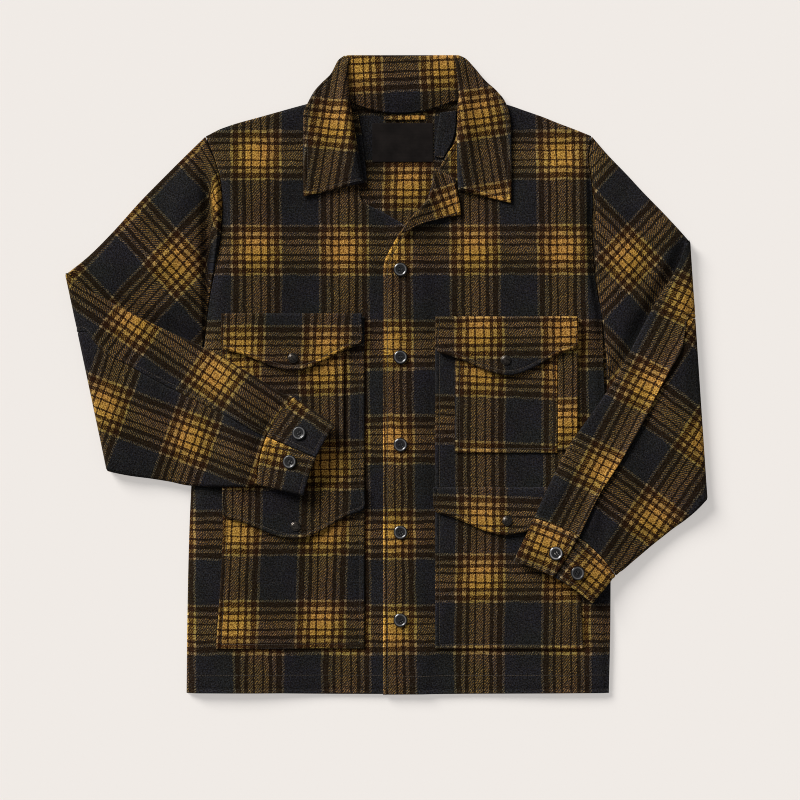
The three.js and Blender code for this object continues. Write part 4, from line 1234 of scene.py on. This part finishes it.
def leaf_piece(side, table):
    index = np.arange(len(table))
    at = np.concatenate([[0, 0.12, 0.2, 0.26, 0.33, 0.45], np.linspace(0.6, len(table) - 1, 46)])
    numbers = pchip(index, np.array([[*r[0], *r[1], *r[2:]] for r in table], float), at)
    shares = edged(72, 3.2)
    roll, edge = numbers[:, None, 0:2], numbers[:, None, 2:4]
    plan = mix(roll, edge, shares[None, :, None])
    x, y = plan[..., 0], plan[..., 1]
    under, thin, thick = (numbers[:, k][:, None] for k in (4, 5, 6))
    on_body = smooth((399 - y) / 20)
    base = under + (puff(x, y) + relief(x, y)) * on_body
    level = pchip(LEAF_SHARES, ROLL_LEVEL, shares)[None]
    roll_rise = ROLL_RISE[side] * bell(edge_distance(plan, "first_col") - 9, 10)
    roll_rise = roll_rise * smooth((y - 285) / 50) * smooth((446 - y) / 14)
    height = mix(thick, thin, smooth(shares[None] * 1.6)) * level
    soft = (1.1 * bell(edge_distance(plan, "last_col"), 12) + 0.8 * value_noise(x, y, 34, 8)) * on_body
    face = np.stack([x, y, base + height + soft + roll_rise], -1)
    lining = np.stack([x, y, base + 0.55 * soft], -1)
    face = sew_edges(face, lining, ["first_row", "last_col"])
    uv = check_at(f"{side}_leaf", x, y)
    FACES[f"{side}_leaf"] = face
    nodes = ["collar"] if side == "right" else ()
    build_wall(f"collar_{side}_leaf_cloth", face, lining, uv, WOOL, nodes, edge_light_and_wear=1.1)


def band_piece():
    fold_radius, fall_end, seam_lap = 4.3, 14, 1.5
    fold_y = COLLAR_TOP - fold_radius
    inside = fold_radius - DOUBLE
    turn = np.linspace(math.pi / 2, -math.pi / 2, 11)[1:]

    def at_x(x, ys, zs):
        return np.stack([np.full_like(ys, x), ys, zs], -1)

    def arc(x, radius):
        return at_x(x, fold_y + radius * np.cos(turn), fold_radius + radius * np.sin(turn))

    face, lining, plan = [], [], []
    for x in np.linspace(-70, 78, 35):
        seam_y = neck_seam(min(abs(x), NECK_HALF - 5))
        under = DOUBLE + 2 * inside
        by_seam = [seam_y - seam_lap, seam_y - 1.5, seam_y + 1]
        ys = np.concatenate([by_seam, np.linspace(seam_y + 4, fold_y, 13)])
        zs = mix(LAYER, under, smooth((ys - seam_y - 1) / (fall_end - 1)))
        bow = 1.6 * np.sin(np.pi * clamp01((ys - seam_y) / (fold_y - seam_y))) * np.cos(x / 70 * 1.2)
        zs = zs + bow
        end = np.linspace(fold_y, seam_y + fall_end, 5)[1:]
        face.append(np.concatenate([at_x(x, ys, zs + DOUBLE), arc(x, fold_radius), at_x(x, end, 0 * end)]))
        lining.append(np.concatenate([at_x(x, ys, zs), arc(x, inside), at_x(x, end, 0 * end + DOUBLE)]))
        run = fold_y + fold_radius * (math.pi / 2 - np.abs(turn))
        py = np.concatenate([ys, run, end])
        plan.append(np.stack([np.full_like(py, x), py], -1))
    face, lining, plan = np.array(face), np.array(lining), np.array(plan)
    uv = check_at("band", plan[..., 0], plan[..., 1])
    build_wall("collar_band_cloth", face, lining, uv, WOOL, ())


leaf_piece("right", RIGHT_LEAF)
leaf_piece("left", LEFT_LEAF)
band_piece()


# Label and loop
def label_material():
    mat, g, shader = new_material("label_cloth", Roughness=0.8, Specular_IOR_Level=0.06)
    uv = g.node("ShaderNodeUVMap", uv_map="Cloth").outputs[0]
    wave = g.node("ShaderNodeTexWave", wave_type="BANDS", bands_direction="Y")
    g.put(wave.inputs["Vector"], uv)
    wave.inputs["Scale"].default_value = 320.0
    wave.inputs["Distortion"].default_value = 0.6
    grain = g.noise(uv, 1400.0, 2.0, 0.6)
    mixed = g.plus(g.times(wave.outputs["Fac"], 0.6), g.times(grain, 0.6))
    satin = g.span(g.noise(uv, 55.0, 3.0, 0.6), 0.3, 0.7, 0.6, 1.25)
    colour = g.ramp(mixed, [(0.2, linear(8, 8, 9)), (0.9, linear(33, 28, 26))])
    g.put(shader.inputs["Base Color"], g.mix(1.0, colour, satin, "MULTIPLY"))
    g.put(shader.inputs["Normal"], g.bump(mixed, 0.5, 0.0002))
    return mat


LABEL_CLOTH = label_material()


def label_piece():
    x0, x1, top, bottom = -36, 43, 359.5, 309
    gx, gy = np.meshgrid(np.linspace(x0, x1, 34), np.linspace(top, bottom, 24))
    puffed = 0.7 * np.sin(np.pi * (gx - x0) / (x1 - x0)) * np.sin(np.pi * (top - gy) / (top - bottom))
    lining = np.stack([gx, gy, np.full_like(gx, LAYER) + puffed * 0.8], -1)
    face = lining + np.array([0, 0, 0.9])
    uv = np.stack([gx, gy], -1)
    build_wall("label_cloth", face, lining, uv, LABEL_CLOTH, ["label"])


def loop_piece():
    x0, x1 = -21, 33
    gx, gy = np.meshgrid(np.linspace(x0, x1, 30), np.linspace(370.2, 363.9, 7))
    rise = np.sin(np.pi * (gx - x0) / (x1 - x0))
    lining = np.stack([gx, gy - 0.5 * rise, LAYER + 1.2 * rise], -1)
    face = lining + np.array([0, 0, 1.8])
    uv = check_at("loop", gx, gy)
    build_wall("hanger_loop_cloth", face, lining, uv, WOOL, ["hanger_loop"])


label_piece()
loop_piece()


# Buttons and snaps
def horn():
    mat, g, shader = new_material("button_dark", Roughness=0.2, Specular_IOR_Level=0.55)
    place = g.node("ShaderNodeTexCoord").outputs["Object"]
    streaks = g.noise(place, 260.0, 3.0, 0.6, 1.4)
    dark = g.ramp(streaks, [(0.35, linear(8, 8, 10)), (0.7, linear(22, 21, 23))])
    # A lighter grey ring on the rim, partly polish wear and partly a painted highlight
    rim = g.node("ShaderNodeAttribute", attribute_name="highlight_and_wear").outputs["Fac"]
    g.put(shader.inputs["Base Color"], g.mix(rim, dark, (*linear(150, 149, 150), 1)))
    g.put(shader.inputs["Roughness"], g.span(g.noise(place, 900.0, 2.0), 0.3, 0.7, 0.14, 0.26))
    g.put(shader.inputs["Normal"], g.bump(g.noise(place, 700.0, 2.0), 0.12, 0.0002))
    return mat


def thread(name, low, high):
    mat, g, shader = new_material(name, Roughness=0.75, Sheen_Weight=0.1)
    place = g.node("ShaderNodeTexCoord").outputs["Object"]
    g.put(shader.inputs["Base Color"], g.ramp(g.noise(place, 1300.0, 2.0, 0.6), [(0.3, low), (0.7, high)]))
    return mat


def dark_metal():
    mat, g, shader = new_material("snap_metal", Metallic=1.0, Roughness=0.3)
    place = g.node("ShaderNodeTexCoord").outputs["Object"]
    patches = g.noise(place, 420.0, 3.0, 0.6)
    colour = g.ramp(patches, [(0.3, linear(38, 35, 33)), (0.75, linear(92, 86, 80))])
    g.put(shader.inputs["Base Color"], colour)
    g.put(shader.inputs["Roughness"], g.span(patches, 0.3, 0.7, 0.22, 0.42))
    g.put(shader.inputs["Normal"], g.bump(g.noise(place, 1500.0, 2.0), 0.15, 0.0002))
    return mat


HORN = horn()
BUTTON_THREAD = thread("button_thread", linear(24, 23, 23), linear(46, 44, 43))
PALE_THREAD = thread("pale_thread", linear(96, 94, 92), linear(158, 154, 148))
SEAM_THREAD = thread("seam_thread", linear(34, 27, 20), linear(66, 52, 32))
DARK_METAL = dark_metal()


SEAT_GAP = 0.12  # between a button or snap and the cloth


def seat(grid, x, y, radius):
    """The plane of the cloth under a round foot: its middle, just clear of the cloth, and three axes."""
    points = grid.reshape(-1, grid.shape[-1])[:, :3]
    near = points[np.hypot(points[:, 0] - x, points[:, 1] - y) < radius * 1.15]
    near = near[near[:, 2] > near[:, 2].max() - 4]
    places = np.c_[near[:, 0] - x, near[:, 1] - y, np.ones(len(near))]
    fit = np.linalg.lstsq(places, near[:, 2], rcond=None)[0]
    over = (near[:, 2] - places @ fit).max()
    up = unit(np.array([-fit[0], -fit[1], 1.0]))
    east = unit(np.cross([0.0, 1.0, 0.0], up))
    return np.array([x, y, fit[2] + over + SEAT_GAP]), np.stack([east, np.cross(up, east), up])


def turned(height, radius, rings, sides, foot):
    """A closed round piece: height(x, y) over its foot, which has a smaller radius."""
    r = radius * np.sin(np.linspace(0, np.pi / 2, rings + 1))[1:]
    a = np.linspace(0, 2 * np.pi, sides, endpoint=False)
    rr, aa = np.meshgrid(r, a, indexing="ij")
    x, y = rr * np.cos(aa), rr * np.sin(aa)
    top = np.stack([x, y, height(x, y)], -1).reshape(-1, 3)
    low = [np.stack([q * np.cos(a), q * np.sin(a), np.full(sides, z)], -1) for q, z in foot]
    points = np.concatenate([[[0, 0, float(height(np.zeros(1), np.zeros(1))[0])]], top, *low, [[0, 0, 0]]])
    levels = rings + len(low)

    def ring(k):
        return [1 + k * sides + j for j in range(sides)]

    first = ring(0)
    faces = [(0, first[j], first[(j + 1) % sides]) for j in range(sides)]
    for k in range(levels - 1):
        p, q = ring(k), ring(k + 1)
        faces += [(p[j], q[j], q[(j + 1) % sides], p[(j + 1) % sides]) for j in range(sides)]
    last, end = ring(levels - 1), len(points) - 1
    faces += [(end, last[(j + 1) % sides], last[j]) for j in range(sides)]
    return points, faces


HOLE = 1.5  # each of the four holes from the button's lines of symmetry


def button_height(x, y):
    r = np.hypot(x, y)
    dish = 2.3 + 0.1 * (r / 6) ** 2
    rim = np.interp(r, [5.4, 6.9, 7.4, 8.6, 9.0], [2.35, 3.3, 3.35, 2.6, 1.9])
    z = np.where(r > 5.4, rim, dish)
    for sx in (-HOLE, HOLE):
        for sy in (-HOLE, HOLE):
            z = z - 1.5 * smooth((1.05 - np.hypot(x - sx, y - sy)) / 0.45)
    return z


def capsule(start, end, radius):
    """A short thread from start to end with round ends."""
    sides = 6
    start, end = np.asarray(start, float), np.asarray(end, float)
    way = unit(end - start)
    side = unit(np.cross(way, [0.0, 0.0, 1.0] if abs(way[2]) < 0.9 else [1.0, 0.0, 0.0]))
    other = np.cross(way, side)
    a = np.linspace(0, 2 * np.pi, sides, endpoint=False)[:, None]
    round_ = radius * (np.cos(a) * side + np.sin(a) * other)
    points = [start - way * radius * 0.8]
    for centre in (start, end):
        points += list(centre + round_)
    points.append(end + way * radius * 0.8)
    faces = [(0, 1 + (j + 1) % sides, 1 + j) for j in range(sides)]
    faces += [(1 + j, 1 + (j + 1) % sides, 1 + sides + (j + 1) % sides, 1 + sides + j) for j in range(sides)]
    last = 1 + 2 * sides
    faces += [(last, 1 + sides + j, 1 + sides + (j + 1) % sides) for j in range(sides)]
    return np.array(points), faces


def arch(start, end, rise, radius):
    """Thread that rises from one hole and goes down the next."""
    ends = np.array([start, start, end, end], float)
    ends[1:3, 2] += rise
    ends[0, 2] -= 0.9
    ends[3, 2] -= 0.9
    return [capsule(ends[k], ends[k + 1], radius) for k in range(3)]


def joined(parts):
    points, faces, base = [], [], 0
    for p, f in parts:
        points.append(p)
        faces += [tuple(i + base for i in face) for face in f]
        base += len(p)
    return np.concatenate(points), faces


def placed(points, at, axes, turn=0.0):
    c, s = math.cos(turn), math.sin(turn)
    spun = points @ np.array([[c, s, 0], [-s, c, 0], [0, 0, 1]])
    return at + spun @ axes


def button(name, grid, x, y, turn):
    at, axes = seat(grid, x, y, BUTTON_RADIUS)
    points, faces = turned(button_height, BUTTON_RADIUS, 26, 56, [(BUTTON_RADIUS, 1.0), (7.8, 0.0)])
    # One cuff button gets pale thread and a brighter rim, partly wear and partly a painted highlight; the
    # others get a fainter ring
    highlit_and_worn = name == "left_cuff_button_1"
    rim_light_and_wear = (0.8 if highlit_and_worn else 0.34) * bell(np.hypot(points[:, 0], points[:, 1]) - 6.9, 0.75)
    points = placed(points, at, axes, turn)
    add_mesh(f"{name}_horn", points, faces, None, HORN, [name], edge=rim_light_and_wear)
    bars = []
    for sx in (-HOLE, HOLE):
        for shift in (-0.3, 0.3):
            bars += arch((sx + shift, -HOLE, 2.55), (sx + shift, HOLE, 2.55), 0.15, 0.24)
    points, faces = joined(bars)
    look = PALE_THREAD if highlit_and_worn else BUTTON_THREAD
    add_mesh(f"{name}_thread", placed(points, at, axes, turn), faces, None, look)


def snap(name, grid, x, y):
    at, axes = seat(grid, x, y, SNAP_RADIUS)

    def height(px, py):
        r = np.hypot(px, py) / SNAP_RADIUS
        dome = 2.7 * np.sqrt(np.maximum(1 - (r * 0.93) ** 2, 0))
        return dome - 0.35 * bell(r - 0.78, 0.06)

    points, faces = turned(height, SNAP_RADIUS, 20, 44, [(SNAP_RADIUS, 0.5), (5.6, 0.0)])
    add_mesh(f"{name}_metal", placed(points, at, axes), faces, None, DARK_METAL, [name])


def cad_middle(node):
    """The place of a solid's middle in mm, seen from above."""
    ob = bpy.data.objects[node]
    corners = np.array([ob.matrix_world @ Vector(c) for c in ob.bound_box]) / MM
    return (corners.min(0) + corners.max(0)) / 2


for i in range(5):
    name = f"front_button_{i + 1}"
    button(name, FACES["left_front"], BUTTON_X, TOP_BUTTON_Y - i * BUTTON_PITCH, 0.15 * i - 0.2)
for side in ("right", "left"):
    for i in (1, 2):
        name = f"{side}_cuff_button_{i}"
        x, y, _ = cad_middle(name)
        button(name, FACES[f"{side}_cuff"], x, y, 0.1 + 0.5 * i)
    for part in ("chest", "lower"):
        name = f"{side}_{part}_snap"
        x, y, _ = cad_middle(name)
        snap(name, FACES[f"{side}_{part}_flap"], x, y)


# Stitches
def grid_line(face, edge, offset):
    """The line that runs this far inside one of a grid's edges."""
    face = face[..., :3]
    if edge in ("first_col", "last_col"):
        face = np.swapaxes(face, 0, 1)
    if edge in ("last_row", "last_col"):
        face = face[::-1]
    line = []
    for c in range(face.shape[1]):
        steps = np.linalg.norm(np.diff(face[:, c], axis=0), axis=1)
        run = np.concatenate([[0], np.cumsum(steps)])
        line.append([np.interp(offset, run, face[:, c, k]) for k in range(3)])
    return np.array(line)


STITCH, STITCH_PITCH, THREAD_RADIUS = 2.2, 3.4, 0.32


def stitch_line(line, trim):
    run = np.concatenate([[0], np.cumsum(np.linalg.norm(np.diff(line, axis=0), axis=1))])
    start, stop = trim[0], run[-1] - trim[1]
    count = max(1, int((stop - start) / STITCH_PITCH))
    at = start + (np.arange(count) + 0.5) * (stop - start) / count
    a, b = (
        np.stack([np.interp(ends, run, line[:, k]) for k in range(3)], -1)
        for ends in (at - STITCH / 2, at + STITCH / 2)
    )
    lift = np.array([0, 0, THREAD_RADIUS * 0.35])
    return [capsule(p + lift, q + lift, THREAD_RADIUS) for p, q in zip(a, b)]


def stitches(name, lines):
    parts = []
    for grid, edge, offset, trim in lines:
        parts += stitch_line(grid_line(FACES[grid], edge, offset), trim)
    points, faces = joined(parts)
    add_mesh(f"{name}_stitches", points, faces, None, SEAM_THREAD)


# The lines of stitches: the grid, its edge, how far in from it, and how far short of its ends
TURN_IN = (STITCH_IN, STITCH_IN)
SEWN = {}
for side in OUTWARD:
    for part in ("pocket_panel", "chest_pocket", "chest_flap", "lower_flap"):
        name = f"{side}_{part}"
        SEWN[name] = [(name, "last_row", STITCH_IN, TURN_IN)]
        SEWN[name] += [(name, edge, STITCH_IN, (2, STITCH_IN)) for edge in ("first_col", "last_col")]
    cuff, leaf = f"{side}_cuff", f"{side}_leaf"
    SEWN[cuff] = [(cuff, edge, STITCH_IN, (4, 4)) for edge in ("first_row", "last_row")]
    SEWN[cuff] += [(cuff, edge, STITCH_IN, TURN_IN) for edge in ("first_col", "last_col")]
    SEWN[leaf] = [(leaf, "first_row", STITCH_IN, (10, STITCH_IN)), (leaf, "last_col", STITCH_IN, TURN_IN)]
    SEWN[f"{side}_sleeve"] = [(f"{side}_top_sleeve", "first_col", STITCH_IN, (4, 4))]
SEWN["placket"] = [("left_front", "first_col", STITCH_IN, (12, STITCH_IN))]
SEWN["hem"] = [("left_front", "last_row", 24, (4, 4)), ("right_front", "last_row", 24, (30, 4))]
SEWN["lapel"] = [("left_lapel", "last_col", STITCH_IN, TURN_IN)]
for name, lines in SEWN.items():
    stitches(name, lines)


# What each piece of cloth was cut to
def on_top(*names, snap_of=None, buttons=()):
    found = [f"{n}_stitches" for n in names]
    if snap_of:
        found.append(f"{snap_of}_snap_metal")
    for b in buttons:
        found += [f"{b}_horn", f"{b}_thread"]
    return found


# Width and length in metres, area in square metres, how it lies, what it lies on, what is sewn to it
SHEETS = {
    "back": (0.552, 0.775, 0.396, "laid", (), ()),
    "right_front": (0.302, 0.775, 0.203, "laid", ["back_cloth"], ()),
    "left_front": (
        0.296, 0.775, 0.205, "laid", ["back_cloth", "right_front_cloth"],
        on_top("placket", "hem", buttons=[f"front_button_{i}" for i in range(1, 6)]),
    ),
    "left_lapel": (0.052, 0.092, 0.0034, "folded", ["left_front_cloth"], on_top("lapel")),
    "right_neck_facing": (0.032, 0.1, 0.0017, "laid", ["back_cloth"], ()),
    "left_neck_facing": (0.03, 0.063, 0.0014, "laid", ["back_cloth"], ()),
    "collar_band": (0.148, 0.129, 0.0189, "folded", ["back_cloth"], ()),
    "collar_right_leaf": (0.083, 0.186, 0.012, "folded", ["right_front_cloth"], on_top("right_leaf")),
    "collar_left_leaf": (0.078, 0.194, 0.0122, "folded", ["left_front_cloth"], on_top("left_leaf")),
    "label": (0.079, 0.0505, None, "laid", ["back_cloth"], ()),
    # really 7.5 mm wide, but no sheet may be stated narrower than 10
    "hanger_loop": (0.0545, 0.01, 0.00041, "laid", ["back_cloth"], ()),
    "left_pen_pocket": (0.0254, 0.165, None, "laid", ["left_pocket_panel_cloth"], ()),
}
# by side: the two flaps, the area of both halves of the sleeve, and how deep the cuff is
PAIRED = {
    "right": ((0.183, 0.074, 0.0113), (0.185, 0.07, 0.0105), 0.128, 0.0585, 0.066),
    "left": ((0.185, 0.076, 0.0116), (0.187, 0.063, 0.0096), 0.118, 0.0545, 0.062),
}
for side, (chest, lower, top_area, under_area, cuff_depth) in PAIRED.items():
    front, panel, pocket = [f"{side}_front_cloth"], f"{side}_pocket_panel", f"{side}_chest_pocket"
    SHEETS[panel] = (0.188, 0.43, None, "laid", front, on_top(panel))
    SHEETS[pocket] = (0.133, 0.1685, None, "laid", [f"{panel}_cloth"], on_top(pocket))
    for part, cut, under in (("chest", chest, pocket), ("lower", lower, panel)):
        flap = f"{side}_{part}_flap"
        SHEETS[flap] = (*cut, "laid", [f"{under}_cloth"], on_top(flap, snap_of=f"{side}_{part}"))
    SHEETS[f"{side}_top_sleeve"] = (0.37, 0.615, top_area, "folded", front, on_top(f"{side}_sleeve"))
    SHEETS[f"{side}_under_sleeve"] = (0.2, 0.555, under_area, "folded", front, ())
    SHEETS[f"{side}_cuff"] = (
        0.248, cuff_depth, None, "folded", front,
        on_top(f"{side}_cuff", buttons=[f"{side}_cuff_button_{i}" for i in (1, 2)]),
    )
for name, (width, length, area, held, under, sewn) in SHEETS.items():
    [bpy.data.objects[n] for n in sewn]
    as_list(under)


# Stage
def lit_floor():
    me = bpy.data.meshes.new("floor")
    half, z = 40.0, -0.0004  # in metres, just under the cloth
    corners = [(-half, -half, z), (half, -half, z), (half, half, z), (-half, half, z)]
    me.from_pydata(corners, [], [(0, 1, 2, 3)])
    mat, _, shader = new_material("paper", Roughness=0.9, Specular_IOR_Level=0.1)
    shader.inputs["Base Color"].default_value = (0.43, 0.412, 0.395, 1)
    shader.inputs["Emission Color"].default_value = (0.871, 0.831, 0.8, 1)
    shader.inputs["Emission Strength"].default_value = 0.5
    me.materials.append(mat)
    ob = bpy.data.objects.new("floor", me)
    bpy.context.scene.collection.objects.link(ob)


def sun(name, direction, spread, power, colour):
    data = bpy.data.lights.new(name, "SUN")
    data.angle = math.radians(spread)
    data.energy = power
    data.color = colour
    ob = bpy.data.objects.new(name, data)
    ob.rotation_euler = Vector(direction).to_track_quat("-Z", "Y").to_euler()
    ob.location = -2 * Vector(direction)
    bpy.context.scene.collection.objects.link(ob)


lit_floor()
sun("key", (0.64, -0.7, -0.52), 28, 4.95, (1.0, 0.985, 0.96))
sun("overhead", (0.12, -0.12, -1), 80, 0.22, (1.0, 0.99, 0.98))

world = bpy.data.worlds.new("studio")
world.use_nodes = True
world.node_tree.nodes["Background"].inputs[0].default_value = (0.98, 0.98, 1.0, 1)
world.node_tree.nodes["Background"].inputs[1].default_value = 0.19
scene = bpy.context.scene
scene.world = world
scene.view_settings.view_transform = "Standard"
scene.view_settings.look = "None"
scene.cycles.filter_width = 1.0
scene.cycles.denoising_prefilter = "NONE"

CAMERA_HEIGHT = 2.6
camera = bpy.data.objects.new("camera", bpy.data.cameras.new("camera"))
camera.location = (0, 0, CAMERA_HEIGHT)
camera.data.angle = 2 * math.atan(0.52 / CAMERA_HEIGHT)
camera.data.sensor_width = 36
scene.collection.objects.link(camera)
scene.camera = camera
